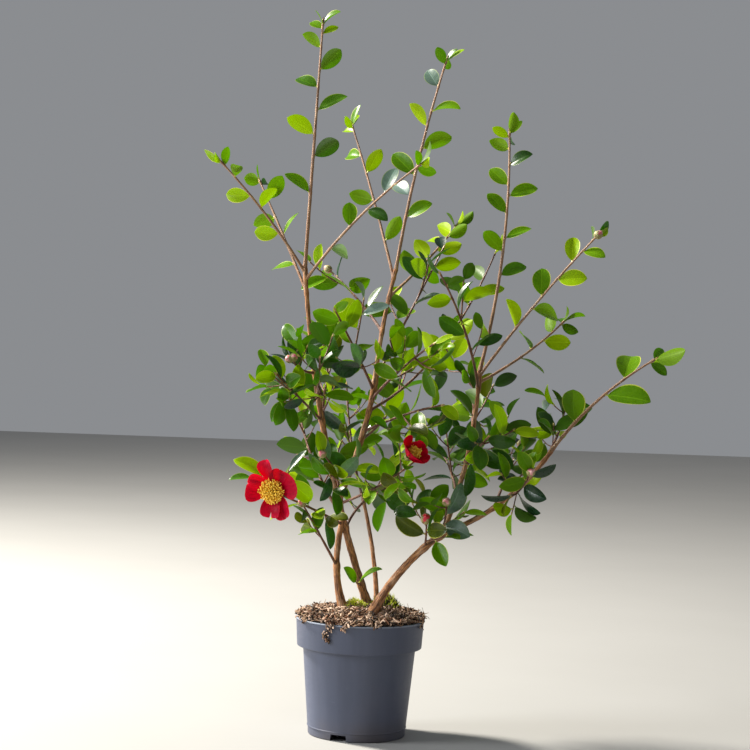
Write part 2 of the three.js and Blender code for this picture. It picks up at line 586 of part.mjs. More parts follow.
function growBloom(shoot, bloom, mass) {
  const axis = vec(bloom.axis).normalize();
  const root = limbPoint(shoot, 1);
  const [bossRadius, bossLength] = bloom.boss;
  const boss = new THREE.CylinderGeometry(bossRadius, bossRadius * BOSS.foot, bossLength, BOSS.sides)
    .translate(0, bossLength / 2 + BOSS.lift, 0)
    .applyQuaternion(new THREE.Quaternion().setFromUnitVectors(DEPTH, axis))
    .translate(root.x, root.y, root.z);
  const foot = root.clone().addScaledVector(axis, -CALYX.sunk);
  addPart(mass, budGeometry(foot, axis, CALYX.length, CALYX.radius));
  addPart(mass, boss);
  for (let i = 0; i < bloom.petals; i += 1) {
    const out = outward(axis, (2 * Math.PI * i) / bloom.petals);
    const spread = deg(bloom.open + (i % 2 ? PETAL_SWAY : -PETAL_SWAY));
    const face = leant(axis, out, spread - Math.PI / 2);
    const { length, slimness } = bloom;
    addPart(mass, leafGeometry({ root, axis: leant(axis, out, spread), face, length, slimness }));
  }
}

// Every shoot's stem stands first, then blooms and buds, then each shoot's leaves and twigs.
function buildMasses(limbs) {
  const masses = Object.entries(MASSES).map(([name, given], index) => {
    const size = { ...SHOOT, ...given };
    const shoot = readLimb(size, limbs);
    const sections = Math.max(3, Math.round(shoot.tip.distanceTo(shoot.base) / TUBE.shootSection));
    const mass = { name, size, shoot, index, parts: [] };
    addPart(mass, limbGeometry(shoot, TUBE.shootSides, sections));
    return mass;
  });
  for (const mass of masses) {
    if (mass.size.bloom) growBloom(mass.shoot, BLOOMS[mass.size.bloom], mass);
    growBuds(mass.shoot, mass.size.buds, mass);
  }
  for (const mass of masses) {
    growLeaves(mass.shoot, mass.size, mass.size.phase, streamOf(mass), mass);
    growTwigs(mass.shoot, mass.size, mass);
  }
  return masses;
}

// One solid of a mass: its stem, twigs, leaves and buds joined, clear of every limb
function massSolid(mass, limbs) {
  const joined = mass.parts.reduce((whole, part) => whole.add(part));
  return mainBody(Object.values(limbs).reduce((solid, limb) => solid.subtract(limb.grown), joined));
}

function named(name, solid, look) {
  const material = new THREE.MeshStandardMaterial({ ...look, metalness: 0 });
  const mesh = new THREE.Mesh(solid, material);
  mesh.name = name;
  return mesh;
}

const limbs = buildLimbs();
const masses = buildMasses(limbs);

const pot = named("pot", potGeometry(), COLOURS.pot);
const compostWhole = solidOf(compostGeometry());
const compostSolid = GROUND_STEMS.reduce((solid, name) => solid.subtract(limbs[name].grown), compostWhole);
const compost = named("compost", geometryOf(mainBody(compostSolid)), COLOURS.compost);

const stems = new THREE.Group();
for (const [name, limb] of Object.entries(limbs)) {
  stems.add(named(name, geometryOf(limb.solid), COLOURS.bark));
}

const foliage = new THREE.Group();
for (const mass of masses) {
  foliage.add(named(mass.name, geometryOf(massSolid(mass, limbs)), COLOURS.foliage));
}

const shrub = new THREE.Group();
shrub.add(pot, compost, stems, foliage);

export default shrub;
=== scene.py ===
# A camellia shrub in flower in its nursery pot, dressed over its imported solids.
# The limbs and the foliage follow the source's seeded rule, worked out in millimetres
# and turned to metres when a mesh is made. -Y is the front.
import math
import bmesh
import bpy
import numpy as np
from mathutils import Matrix, Vector, noise
from mathutils.bvhtree import BVHTree


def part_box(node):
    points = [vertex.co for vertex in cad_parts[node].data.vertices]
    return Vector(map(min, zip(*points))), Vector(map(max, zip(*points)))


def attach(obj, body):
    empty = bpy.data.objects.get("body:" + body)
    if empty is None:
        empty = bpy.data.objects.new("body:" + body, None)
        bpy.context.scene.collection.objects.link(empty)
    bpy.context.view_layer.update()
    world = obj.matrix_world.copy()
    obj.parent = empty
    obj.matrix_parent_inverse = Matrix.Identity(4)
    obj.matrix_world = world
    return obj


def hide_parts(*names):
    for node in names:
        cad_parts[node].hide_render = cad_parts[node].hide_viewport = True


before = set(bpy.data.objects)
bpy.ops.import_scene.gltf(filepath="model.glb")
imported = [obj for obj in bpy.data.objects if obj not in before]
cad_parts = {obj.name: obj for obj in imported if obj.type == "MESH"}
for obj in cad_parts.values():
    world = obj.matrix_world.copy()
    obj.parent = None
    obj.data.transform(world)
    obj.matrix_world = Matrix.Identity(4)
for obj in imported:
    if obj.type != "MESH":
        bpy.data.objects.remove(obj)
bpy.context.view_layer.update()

MM = 0.001
UP = Vector((0, 0, 1))
DEPTH = Vector((0, 1, 0))
ACROSS = Vector((1, 0, 0))
CIRCLE = 2 * math.pi
NEARLY_ALONG = 0.2
WORD = 0xFFFFFFFF

# Sizes shared with the source, in millimetres and degrees
RIM_RADIUS = 85
POT_HEIGHT = 153
# The lip's sizes, and the band below the rim where a painted highlight lies
LIP = dict(height=2, overhang=1, under=0.6, highlight_band=(1.9, 1.2))
BAND = dict(height=37, bottom_radius=82, step=8, slope=1.5)
FOOT = dict(radius=64, height=11, ring_width=3.5, channel_height=9, ledge=1)
BEAD = dict(out=0.5, draft=0.4, rises=(-1.4, -1, 0.3, 0.9))
WALL = 1.7
CENTRE_PAD_RADIUS = 40
NOTCH = dict(width=26, height=8, depth=12, count=3, turn=21.6, taper=0.8)
DRAIN = dict(radius=4, ring=50, count=6, depth=7, sides=20)
POT_FORM = dict(corner=0.8, corner_steps=4, corner_share=0.45, segments=160, sharp=40)
FRONT = -90
COMPOST_DOME = 10
MOSS = (dict(x=-8, y=4, radius=13, height=8), dict(x=34, y=22, radius=17, height=14))
MOUND_FALL = 2
LEAF = dict(length=46, slimness=0.56, thickness=0.62, fold=0.13, droop=0.16, sunk=0.01,
    thickest=0.36, young=0.28, young_from=0.7)
LEAF_SIDE = ((0.34, 0.9), (0.7, 0.86))
PROBE = dict(start=0.24, swell=1.05, thickness=1.5, root_width=0.3, tip_width=0.1, twig_from=0.25,
    twig_extra=1)
SPRAY = dict(crowding=0.75, jitter=0.4, last_at=0.985, spread=(44, 66), last_spread=(26, 46),
    roll=(40, 78), lengths=(0.86, 1.06), turn_jitter=26, steps=(0, 47, -47))
TWIG = dict(radii=(1.3, 0.9), bare=0.3, leaves=3, spread=52, lift=0.12, lowest=0.8, highest=0.86,
    jitter=0.4, turn_from=90, turn_jitter=40, lengths=(0.85, 1.15))
SEED = 5
STREAMS = dict(seed=100, twig=10000)
GOLDEN_TURN = 137.5
HALF_TURN = 174
ROOT_FLARE = dict(gain=0.7, height=14)

# Sides and sections of the coarse tubes that a new twig or leaf keeps clear of
COARSE = dict(stem=(7, 9), bough=(7, 6), twig=(3, 2), bud=(6, 3), boss=(6, 1))
COARSE_SHOOT = dict(sides=4, step=65, fewest=3)

# Stems stand in the compost, and boughs spring from another limb.
LIMBS = {
    "stem_left": dict(base=(-22, 0, 161), tip=(-27, 14, 282), bow=(-9, 0, -2), radii=(5.0, 3.6)),
    "stem_centre": dict(base=(11, 25, 162), tip=(-88, -10, 610), bow=(-15, 0, -3), radii=(5.2, 2.6)),
    "stem_right": dict(base=(14, -30, 160), tip=(107, -40, 275), bow=(-9, 0, 4), radii=(5.7, 4.4)),
    "stem_back": dict(base=(22, 56, 156), tip=(-1, 66, 300), bow=(4, 0, 0), radii=(3.4, 2.3)),
    "bough_inner": dict(on="stem_centre", at=0.325, tip=(8, -15, 458), bow=(4, 0, -2),
        radii=(4.0, 3.3)),
    "bough_leader": dict(on="bough_inner", at=0.99, tip=(31, 4, 612), bow=(-3, 0, 2),
        radii=(3.1, 2.5)),
    "bough_right_upper": dict(on="stem_right", at=0.97, tip=(145, -5, 483), bow=(9, 0, -2),
        radii=(3.4, 2.6)),
    "bough_right_outer": dict(on="stem_right", at=0.97, tip=(238, -60, 385), bow=(9, 0, -11),
        radii=(3.7, 2.7)),
}

# A mass of foliage: the limb it springs from and where, its shoot's tip, and its own values.
# A mass whose leaves turn by HALF_TURN is a leader.
MASSES = {
    "tall_leader": ("stem_centre", 1, (-76, 15, 934), dict(radii=(2.5, 1.2), bare=0.22, leaves=8,
        turn=HALF_TURN, seed=22)),
    "outer_left": ("stem_centre", 0.985, (-201, -50, 743), dict(bow=(4, 0, 3), bare=0.22, leaves=5,
        phase=-30, turn=HALF_TURN, size=0.85, seed=1)),
    "upper_left": ("stem_centre", 0.93, (-157, 90, 728), dict(bow=(0, 0, 2), bare=0.1, leaves=5,
        phase=-10, turn=HALF_TURN, size=0.9, seed=26)),
    "crossing": ("stem_centre", 0.965, (58, -118, 744), dict(bow=(-6, 0, 6), bare=0.06, phase=150,
        turn=HALF_TURN, size=0.9, seed=18)),
    "left_side": ("stem_centre", 0.56, (-118, -80, 472), dict(bare=0.43, leaves=5, twigs=1,
        twig_length=46, phase=200, seed=26)),
    "left_front": ("stem_centre", 0.64, (-62, -118, 496), dict(bow=(0, 0, -6), twigs=2, twig_length=44,
        phase=30)),
    "left_inner": ("stem_centre", 0.5, (-43, 90, 501), dict(bow=(-10, 0, 2), bare=0.3, twigs=3,
        twig_length=50, phase=40)),
    "left_buds": ("stem_centre", 0.7, (-100, -44, 492), dict(bow=(-3, 0, -5), bare=0.4, leaves=5,
        phase=180, buds=2)),
    "flower_twig": ("stem_centre", 0.25, (-114, -76, 320), dict(bow=(0, 0, 2), bare=0.3, phase=60,
        bloom="open")),
    "half_open_twig": ("stem_centre", 0.315, (66, -124, 374), dict(bow=(2, 0, -5), bare=0.3, leaves=7,
        phase=100, bloom="half")),
    "inner_twig": ("stem_centre", 0.24, (55, 100, 323), dict(bow=(-10, 0, 11), bare=0.35, twigs=2,
        twig_length=48)),
    "left_bud_twig": ("stem_centre", 0.33, (-56, -70, 372), dict(bow=(8, 0, 2), bare=0.3, twigs=1,
        twig_length=40, phase=200, buds=1)),
    "low_left": ("stem_left", 0.5, (-80, -54, 306), dict(bow=(2, 0, -3), bare=0.5, phase=20, buds=1,
        size=0.85)),
    "back_left": ("stem_left", 1, (-96, 128, 428), dict(bow=(-8, 0, -6), radii=(2.6, 1.2), twigs=3,
        twig_length=62, phase=70)),
    "back_centre": ("stem_back", 1, (-30, 160, 452), dict(bow=(-4, 8, -6), bare=0.2, twigs=3,
        twig_length=62, phase=10)),
    "low_shoot": ("stem_centre", 0.07, (-6, -4, 199), dict(radii=(1.4, 1.0), bare=0.52, leaves=2, seed=41,
        phase=120, tint="fresh")),
    "inner_left_leader": ("bough_inner", 0.97, (-45, -110, 556), dict(bow=(1, 0, 0), bare=0.2, leaves=7,
        twigs=3, twig_length=50, phase=10)),
    "inner_front": ("bough_inner", 0.9, (80, -120, 518), dict(bow=(-2, 0, 3), bare=0.2, leaves=7, twigs=3,
        twig_length=50, phase=150)),
    "inner_right": ("bough_leader", 0.06, (94, 60, 644), dict(bare=0.2, leaves=7, twigs=2, twig_length=48,
        phase=210, seed=3)),
    "right_crossing": ("bough_inner", 0.8, (168, 120, 644), dict(bow=(8, 0, -28), bare=0.35, leaves=7,
        twigs=1, twig_length=50, phase=-20, seed=22)),
    "middle_front": ("bough_inner", 0.62, (94, -86, 440), dict(bow=(0, 0, 4), leaves=7, twigs=1,
        twig_length=48, phase=60)),
    "back_middle": ("bough_inner", 0.55, (52, 180, 474), dict(bow=(6, 0, -10), bare=0.3, twigs=3,
        twig_length=58, phase=80)),
    "centre_top": ("bough_leader", 1, (88, 10, 890), dict(bow=(-5, 0, 0), radii=(2.3, 1.2), bare=0.16,
        leaves=7, phase=165, turn=HALF_TURN, seed=34)),
    "centre_left": ("bough_leader", 0.46, (-59, 108, 610), dict(bow=(3, 0, 2), bare=0.2, leaves=7,
        twigs=2, twig_length=48, phase=180, buds=1)),
    "dark_leader": ("bough_leader", 0.92, (-35, 122, 810), dict(bow=(2, 0, 0), bare=0.12, leaves=5,
        phase=165, turn=HALF_TURN, size=0.9, seed=39)),
    "centre_right": ("bough_leader", 0.76, (115, 128, 680), dict(bow=(3, 0, -2), bare=0.2, leaves=8,
        phase=-20, turn=HALF_TURN, size=0.9, seed=9)),
    "right_top": ("bough_right_upper", 1, (174, 20, 800), dict(bow=(11, 0, -1), radii=(2.5, 1.2),
        bare=0.3, leaves=9, phase=180, turn=HALF_TURN, size=0.9, seed=13)),
    "right_outer_leader": ("bough_right_upper", 0.97, (289, -60, 666), dict(bow=(-3, 0, 3), bare=0.18,
        leaves=7, phase=-15, turn=HALF_TURN, buds=1, size=0.95, seed=12)),
    "right_low_leader": ("bough_right_upper", 0.93, (262, 90, 552), dict(bow=(6, 0, -2), bare=0.28,
        leaves=5, phase=150, turn=HALF_TURN, size=0.95, seed=10)),
    "right_front": ("bough_right_upper", 0.9, (85, -128, 606), dict(bow=(6, 0, 3), bare=0.2, leaves=7,
        phase=180, size=0.9)),
    "right_inner": ("bough_right_upper", 0.45, (154, -112, 404), dict(bare=0.3, twigs=2, twig_length=44)),
    "right_back": ("bough_right_upper", 0.6, (148, 168, 482), dict(bow=(0, 0, -8), bare=0.2, twigs=3,
        twig_length=60, phase=40)),
    "fork_twig": ("bough_right_upper", 0.24, (105, 62, 366), dict(bow=(2, 0, 1), bare=0.3, twigs=2,
        twig_length=46)),
    "red_bud_twig": ("stem_right", 0.78, (80, -76, 292), dict(bow=(1, 0, 0), radii=(1.5, 1.0), bare=0.3,
        leaves=4, buds=1)),
    "pink_bud_twig": ("stem_right", 0.93, (104, -98, 318), dict(bow=(3, 0, -1), radii=(1.5, 1.0),
        bare=0.3, leaves=4, phase=90, buds=1)),
    "outer_tip": ("bough_right_outer", 1, (366, -70, 508), dict(bow=(-7, 0, 6), radii=(2.5, 1.2),
        bare=0.12, leaves=4, phase=-40, turn=HALF_TURN, size=1.3, seed=10)),
    "outer_upper": ("bough_right_outer", 0.92, (262, 24, 444), dict(bow=(4, 0, -2), bare=0.3)),
    "outer_inner": ("bough_right_outer", 0.42, (205, 44, 384), dict(bow=(-1, 0, 1), twigs=2,
        twig_length=46, phase=60, buds=1)),
    "outer_front": ("bough_right_outer", 0.6, (206, -146, 364), dict(bow=(0, 0, -6), bare=0.3, twigs=1,
        twig_length=42, buds=1)),
}
SHOOT = dict(radii=(2.0, 1.1), bow=(0, 0, 0), bare=0.25, leaves=6, twigs=0, twig_length=45, phase=0,
    turn=GOLDEN_TURN, buds=0, size=1, seed=0, bloom=None, tint=None)

# Finer twigs, which only the picture has: how many a mass gets, and what grows on each
FINE = dict(radii=(0.85, 0.6), bare=0.35, leaves=3, size=0.9, count=5, lengths=(24, 42),
    places=(0.25, 0.88), stream=50, turn=GOLDEN_TURN, slack=8, highest=540, host_leaves=3)

# Small leaves crowd round the tip of a leader, which only the picture has too.
TIP = dict(leaves=3, bare=0.93, size=0.74, turn=120, stream=90)

# Outlines of blades: share of the length, then share of the half width
LEAF_OUTLINE = ((0.085, 0.07), (0.12, 0.25), (0.19, 0.52), (0.28, 0.75), (0.38, 0.91), (0.48, 0.985),
    (0.58, 1.0), (0.67, 0.955), (0.76, 0.85), (0.84, 0.69), (0.905, 0.5), (0.955, 0.29), (0.985, 0.13),
    (1.0, 0.03))
LEAF_OVER = (-1, -0.93, -0.5, -0.03, 0.03, 0.5, 0.93, 1)
LEAF_UNDER = (0.55, 0, -0.55)
PETAL_OUTLINE = ((0.0, 0.14), (0.1, 0.24), (0.22, 0.4), (0.35, 0.6), (0.48, 0.78), (0.6, 0.91), (0.72, 0.99),
    (0.82, 1.0), (0.9, 0.91), (0.96, 0.7), (0.99, 0.4), (1.0, 0.12))
PETAL_OVER = (-1, -0.8, -0.55, -0.28, 0, 0.28, 0.55, 0.8, 1)
PETAL_UNDER = (0.7, 0.35, 0, -0.35, -0.7)
BLADE = dict(curl_power=4, notch_power=8, wave_shift=1.5)
PETAL_FORM = dict(bend=-0.5, curl=0.5, twist=0, sway=0, notch=0.08, wave=0.03, waves=7, phase=0, fold=0.16,
    crease=1.8, thickness=0.7, tag=0)
PETAL_ROOT = 1.5

# Each finish of a leaf by its place in the list, and which of them the faces round a blade take
UPPER, UNDER, EDGE = 0, 1, 2
LEAF_LOOKS = [EDGE, UPPER, UPPER, UPPER, UPPER, UPPER, EDGE, UNDER, UNDER, UNDER, UNDER]
STALK = dict(along=0.13, drop=-0.3, radii=(0.95, 0.6), sides=5, sections=3)

# Buds: their profiles go from root to tip, as share of the length and share of the radius
BUD = dict(length=12, radius=4.6, fan=34, tilt=0.35, seat=0.97)
BUD_PROFILE = ((0.0, 0.3), (0.08, 0.66), (0.22, 0.93), (0.4, 1.0), (0.58, 0.94), (0.74, 0.74), (0.88, 0.42),
    (0.97, 0.15), (1.0, 0.03))
BUD_GROWTH = dict(length=1.08, radius=1.2, red=1.3)
BUD_SIDES = 12
PINK, SCALE, SHOOT_BUD, RED = 0, 1, 2, 3
SHOOT_BUD_PROFILE = ((0.0, 0.7), (0.25, 1.0), (0.6, 0.72), (0.88, 0.3), (1.0, 0.05))
SHOOT_BUD_SIZE = dict(length=7, radius=1.5, twig=0.7, sides=6)
LEAF_BUD_SIZE = dict(lengths=(2.6, 4.6), radius=1.05, seat=0.8)
SCALE_OUTLINE = ((0.0, 0.8), (0.35, 1.0), (0.65, 0.85), (0.87, 0.5), (1.0, 0.06))
SCALE_OVER = (-1, -0.5, 0, 0.5, 1)
SCALE_UNDER = (0.5, 0, -0.5)
SCALE_FORM = dict(lift=0.16, gap=0.1, girth=1.15, ring_turn=0.9)
SCALE_RINGS = ((0.02, 0.42, 4), (0.1, 0.66, 4), (0.25, 0.86, 3))
CALYX = dict(sunk=7, length=15, radius=5.2, count=7, turn=0.9, girth=0.75, start=0.02, reach=0.5, step=0.03,
    steps=3)

# Blooms. A petal's turn is seen from the front: 0 is to the right, 90 is up.
BLOOMS = {
    "open": dict(axis=(-0.3, -0.93, -0.14), shift=(-2, 0, 4), boss=(16.5, 14), stamens=240, petals=(
        dict(turn=100, spread=68, length=47, width=23, bend=-0.5, curl=1.3, twist=0.45),
        dict(turn=167, spread=70, length=36, width=39, bend=-0.15, curl=0.3, fold=0.34, crease=1.3),
        dict(turn=26, spread=72, length=44, width=38, bend=-0.4, curl=0.3, notch=0.04),
        dict(turn=-54, spread=74, length=42, width=28, bend=-0.2, curl=0.2, twist=-0.3),
        dict(turn=-90, spread=70, length=37, width=28, bend=-0.3, curl=0.8, notch=0.26, wave=0.07),
        dict(turn=68, spread=66, length=38, width=22, bend=-0.5, curl=1.1, twist=-0.5),
    ), leaves=(
        # Leaves behind the open bloom: the lit tint is painted light, and the shade tint is painted shade
        dict(root=(-9, 6, 15), axis=(-0.83, 0.05, 0.52), face=(0.35, -0.7, 0.6), length=50, slim=0.86,
            tint="lit"),
        dict(root=(17, 12, 22), axis=(0.5, 0.26, 0.75), face=(-0.585, -0.566, 0.585), length=38, slim=0.8,
            tint="shade"),
        dict(root=(16, 8, 12), axis=(0.72, 0.1, -0.5), face=(0.1, -0.9, 0.3), length=44, slim=1, tint="lit"),
    )),
    "half": dict(axis=(0.5, -0.72, 0.48), shift=(-12, 0, 2), boss=(8.5, 19), stamens=110, petals=(
        dict(turn=100, spread=36, length=28, width=26, bend=-0.6, curl=0.2),
        dict(turn=168, spread=52, length=33, width=27, bend=-0.5, curl=0.5, fold=0.3),
        dict(turn=236, spread=46, length=31, width=29, bend=-0.6, curl=0.3),
        dict(turn=308, spread=50, length=30, width=26, bend=-0.5, curl=0.5),
        dict(turn=28, spread=44, length=28, width=24, bend=-0.6, curl=0.3),
    ), leaves=()),
}
BLOOM_ROOM = dict(foot_radius=4, extra=2, twig_from=0.86)
STAMEN = dict(heights=(0.66, 1.12), fall=0.2, root=0.22, stray=0.5, bow=(-0.9, 0.6), radii=(0.6, 0.44),
    sides=4, sections=4)
ANTHER = dict(stray=0.8, seat=1.1, length=2.4, radius=0.85, sides=6)
ANTHER_PROFILE = ((0.0, 0.35), (0.25, 0.95), (0.75, 1.0), (1.0, 0.4))

# Wood for the eye. A knot is a place along the limb, a gain in radius and a width, and a
# limb's foot gains by a share of its radius. A ripple is a scale round the limb and a step along.
WOOD = dict(
    limb=dict(sides=28, spacing=1.9, lumps=0.09, bark=0.34),
    shoot=dict(sides=8, spacing=2.4, lumps=0.1),
    twig=dict(sides=6, spacing=3, lumps=0.1),
)
RIPPLES = dict(split=(2.4, 24), fine=(6, 11), lump=(1, 16))
LUMP_SHIFT = 9
FEWEST_SECTIONS = 4
GROOVE = dict(split=0.1, fine=0.12, fine_share=0.4)
GRAIN_STEP = 40
FOOT_SUNK = 3
COLLAR = dict(foot=(4, 0.25, 9), bough=(0.8, 10), shoot=(0.7, 5), ring=(0.28, 2.2))
RINGS = dict(step=26, sway=0.3, beat=5)
SHOOT_FOOT = (2, 0.5, 6)
LEAF_KNOTS = dict(shoot=(0.34, 1.7), twig=(0.22, 1.7))
SEED_STEP = 60

# How the leaf tints are dealt, as shares of the sprays, and how slim the leaves are. Leaders take more
# of the lit tint, a painted light. The core and low sprays take more of the deep, shade and olive tints,
# a painted shade inside and under the crown.
TINT_SHARES = dict(
    leader=(0.26, 0.42, 0.19, 0.05, 0.03, 0.05, 0),
    core=(0.17, 0.23, 0.22, 0.19, 0.11, 0.04, 0.04),
    low=(0.06, 0.17, 0.2, 0.17, 0.12, 0.03, 0.25),
)
SLIM_SPREAD = dict(leader=(0.84, 1.03), core=(0.74, 0.97), low=(0.76, 1.0))
LOW_CROWN = 340
SPRAY_UNITY = 0.45

# The dark top of the compost: noise is height, width and place in the pattern.
CRUMB = dict(gap=0.4, rings=42, segments=120, coarse=(1.6, 5, 3), fine=(0.9, 2, 7), lift=0.3, depth=12)

# What lies on the compost. Shares are of the chip finishes: straw, tan, brown, red, dark.
CHIPS = dict(count=2900, reach=84, pile=(0.2, 6.5), stray=0.45, length=(3, 11), width=(1.2, 4),
    thickness=(0.7, 1.9), shares=(0.24, 0.22, 0.16, 0.14, 0.24))
CHIP_FORM = dict(bend=0.16, ends=((0.25, 0.95), (0.15, 0.8)), middle=(0.8, 1.1), neck=0.9, stray=0.05,
    jag=0.12)
CHIP_ALONG = (-0.5, -0.3, 0.05, 0.32, 0.5)
CHIP_ROUND = ((-1, 0.1), (-0.5, 1), (0.5, 0.9), (1, -0.1), (0.4, -1), (-0.5, -0.8))
FIBRES = dict(count=560, length=(5, 15), radius=(0.35, 0.8), lift=(1, 4), slope=(-0.2, 0.3),
    shares=(0.46, 0.3, 0.12, 0.07, 0.05))
FIBRE_FORM = dict(sections=8, sides=4, taper=0.6, curl=0.3, wander=0.08, clear=0.3, rise=0.5)
HANGING = (dict(turn=-119, count=44, drop=25, spread=7), dict(turn=-103, count=14, drop=10, spread=3),
    dict(turn=-23, count=14, drop=9, spread=3), dict(turn=-146, count=9, drop=6, spread=4),
    dict(turn=-75, count=7, drop=4, spread=4), dict(turn=96, count=16, drop=12, spread=5))
HUNG_CHIP = dict(stray=0.45, narrowing=0.5, sway=0.05, beat=7, out=(1.2, 4), above=2.5, tumble=0.55,
    fall=0.7, length=(3.5, 8.5), width=(1.2, 3), thickness=(0.7, 1.6))
MOSS_TUFTS = (
    dict(x=-8, y=4, spread=12.5, count=760, bright=0.85, length=(3.5, 10)),
    dict(x=32, y=19, spread=15, count=760, bright=0.3, length=(3.5, 13)),
    dict(x=-12, y=-12, spread=8, count=130, bright=0.8, length=(3, 6)),
    dict(x=50, y=-14, spread=22, count=330, bright=0.45, length=(1.5, 5)),
)
MOSS_STALK = dict(lean=0.9, tumble=0.35, sunk=0.5, bow=0.5, radii=(0.75, 0.12), sides=4, sections=3,
    chance=(0.3, 1))

# Leaf tints as linear colours: upper side deep and light, underside, light through it, margin,
# and then the gloss of the upper side. Fresh, mid and deep are tones of green. The lit tint is painted
# light, the shade tint is painted shade, the olive tint is painted shade on low leaves seen from below,
# and the sky tint's pale bluish upper side is a painted reflection of the sky. The margin's bright
# yellow is a painted rim light.
LEAF_TINTS = {
    "lit": ((0.19, 0.335, 0.001), (0.32, 0.48, 0.002), (0.35, 0.49, 0.002), (0.6, 0.82, 0.001),
        (0.78, 0.78, 0.06), 0.13),
    "fresh": ((0.08, 0.2, 0.001), (0.15, 0.3, 0.002), (0.185, 0.335, 0.002), (0.42, 0.7, 0.001),
        (0.6, 0.65, 0.05), 0.16),
    "mid": ((0.038, 0.12, 0.002), (0.085, 0.2, 0.003), (0.125, 0.24, 0.003), (0.3, 0.57, 0.002),
        (0.38, 0.48, 0.04), 0.24),
    "deep": ((0.014, 0.052, 0.004), (0.034, 0.105, 0.006), (0.075, 0.155, 0.005), (0.18, 0.4, 0.004),
        (0.2, 0.3, 0.04), 0.4),
    "shade": ((0.008, 0.034, 0.018), (0.022, 0.07, 0.032), (0.045, 0.1, 0.018), (0.11, 0.26, 0.012),
        (0.12, 0.2, 0.05), 0.66),
    "sky": ((0.1, 0.17, 0.13), (0.25, 0.36, 0.32), (0.1, 0.2, 0.02), (0.24, 0.45, 0.03),
        (0.36, 0.46, 0.16), 0.8),
    "olive": ((0.055, 0.085, 0.003), (0.12, 0.15, 0.005), (0.16, 0.185, 0.006), (0.3, 0.36, 0.003),
        (0.6, 0.6, 0.05), 0.3),
}
# The two sides of a leaf: strength of its veins, roughness, share of light let through, and gloss
# as a share of its tint's
LEAF_SIDES = dict(upper=(0.14, 0.27, 0.36, 1), under=(0.08, 0.45, 0.42, 0.6))
UNDER_DIM = 0.8
EDGE_DIM = 0.82
VEINS = dict(slant=0.2, count=8, width=0.3, depth=-0.2, rib=(0.02, 0.06, 0.7), paler=1.4, lift=0.01)
WANDER = dict(leaf=0.6, patch=0.4, span=(0.2, 0.85))

# How noise is drawn out round and along a limb, for each part of the bark's pattern
BARK_PATTERN = dict(fibre=(0.5, 0.5, 0.045), patch=(0.2, 0.2, 0.06), fine=(2.2, 2.2, 0.7),
    crack=(0.36, 0.36, 0.028))
# Bark: ridge, groove and dust colours, roughness, and how fine its fibres and cracks are. The pale
# dust patches are partly a painted sheen, and the groove colour also paints shade into the fissures.
BARKS = {
    "bark": ((0.66, 0.29, 0.1), (0.15, 0.055, 0.02), (0.74, 0.5, 0.32), 0.66, 1.0),
    "shoot_bark": ((0.42, 0.225, 0.11), (0.24, 0.11, 0.055), (0.54, 0.38, 0.24), 0.55, 1.6),
    "twig_bark": ((0.23, 0.085, 0.04), (0.1, 0.03, 0.018), (0.34, 0.19, 0.11), 0.5, 1.8),
}

# Mottled finishes: dark and pale colours, scale of the pattern, roughness and bump
MOTTLES = {
    "bud_petal": ((0.55, 0.04, 0.09), (0.92, 0.55, 0.52), 150, 0.4, 0.2),
    "bud_scale": ((0.2, 0.16, 0.05), (0.42, 0.4, 0.16), 220, 0.55, 0.4),
    "shoot_bud": ((0.36, 0.2, 0.07), (0.55, 0.42, 0.14), 260, 0.5, 0.3),
    "red_bud": ((0.45, 0.002, 0.02), (0.8, 0.02, 0.06), 120, 0.35, 0.2),
    "filament": ((1.0, 0.6, 0.02), (1.0, 0.8, 0.08), 300, 0.5, 0.2),
    "anther": ((1.0, 0.52, 0.012), (1.0, 0.82, 0.12), 700, 0.6, 0.2),
    # The compost's own dark, made darker still as painted shade for the gaps between chips
    "compost_dark": ((0.007, 0.004, 0.003), (0.03, 0.018, 0.011), 320, 0.95, 0.9),
    "chip_straw": ((0.44, 0.27, 0.18), (0.76, 0.57, 0.43), 420, 0.85, 0.6),
    "chip_tan": ((0.22, 0.125, 0.07), (0.42, 0.28, 0.17), 420, 0.85, 0.6),
    "chip_brown": ((0.075, 0.037, 0.018), (0.17, 0.095, 0.05), 420, 0.85, 0.6),
    "chip_red": ((0.13, 0.05, 0.022), (0.27, 0.125, 0.06), 420, 0.85, 0.6),
    "chip_dark": ((0.014, 0.008, 0.006), (0.045, 0.026, 0.017), 420, 0.85, 0.6),
    "moss_dark": ((0.014, 0.02, 0.005), (0.05, 0.06, 0.012), 400, 0.8, 0.3),
    "moss_bright": ((0.42, 0.48, 0.01), (0.72, 0.74, 0.08), 400, 0.7, 0.3),
}
# Light let through some of them: its share and its colour
GLOWS = dict(filament=(0.2, (1.0, 0.7, 0.03)), moss_bright=(0.35, (0.85, 0.92, 0.05)))
# Petal colours; dark is a painted shade that some petals take more of than others
PETAL = dict(deep=(0.24, 0.0002, 0.012), light=(0.88, 0.0004, 0.046), dark=(0.2, 0.0003, 0.02),
    rim=(0.88, 0.012, 0.07), glow=(1.0, 0.0005, 0.04))
# The pot's plastic colours; lip is the colour of a painted highlight on the rim
PLASTIC = dict(deep=(0.069, 0.08, 0.12), light=(0.092, 0.106, 0.158), cloud=(0.115, 0.115, 0.155),
    scuff=(0.19, 0.22, 0.3), soil=(0.11, 0.085, 0.065), lip=(0.33, 0.38, 0.46))

# The part of a noise pattern that most of it lies in
MIDDLE = (0.3, 0.7)

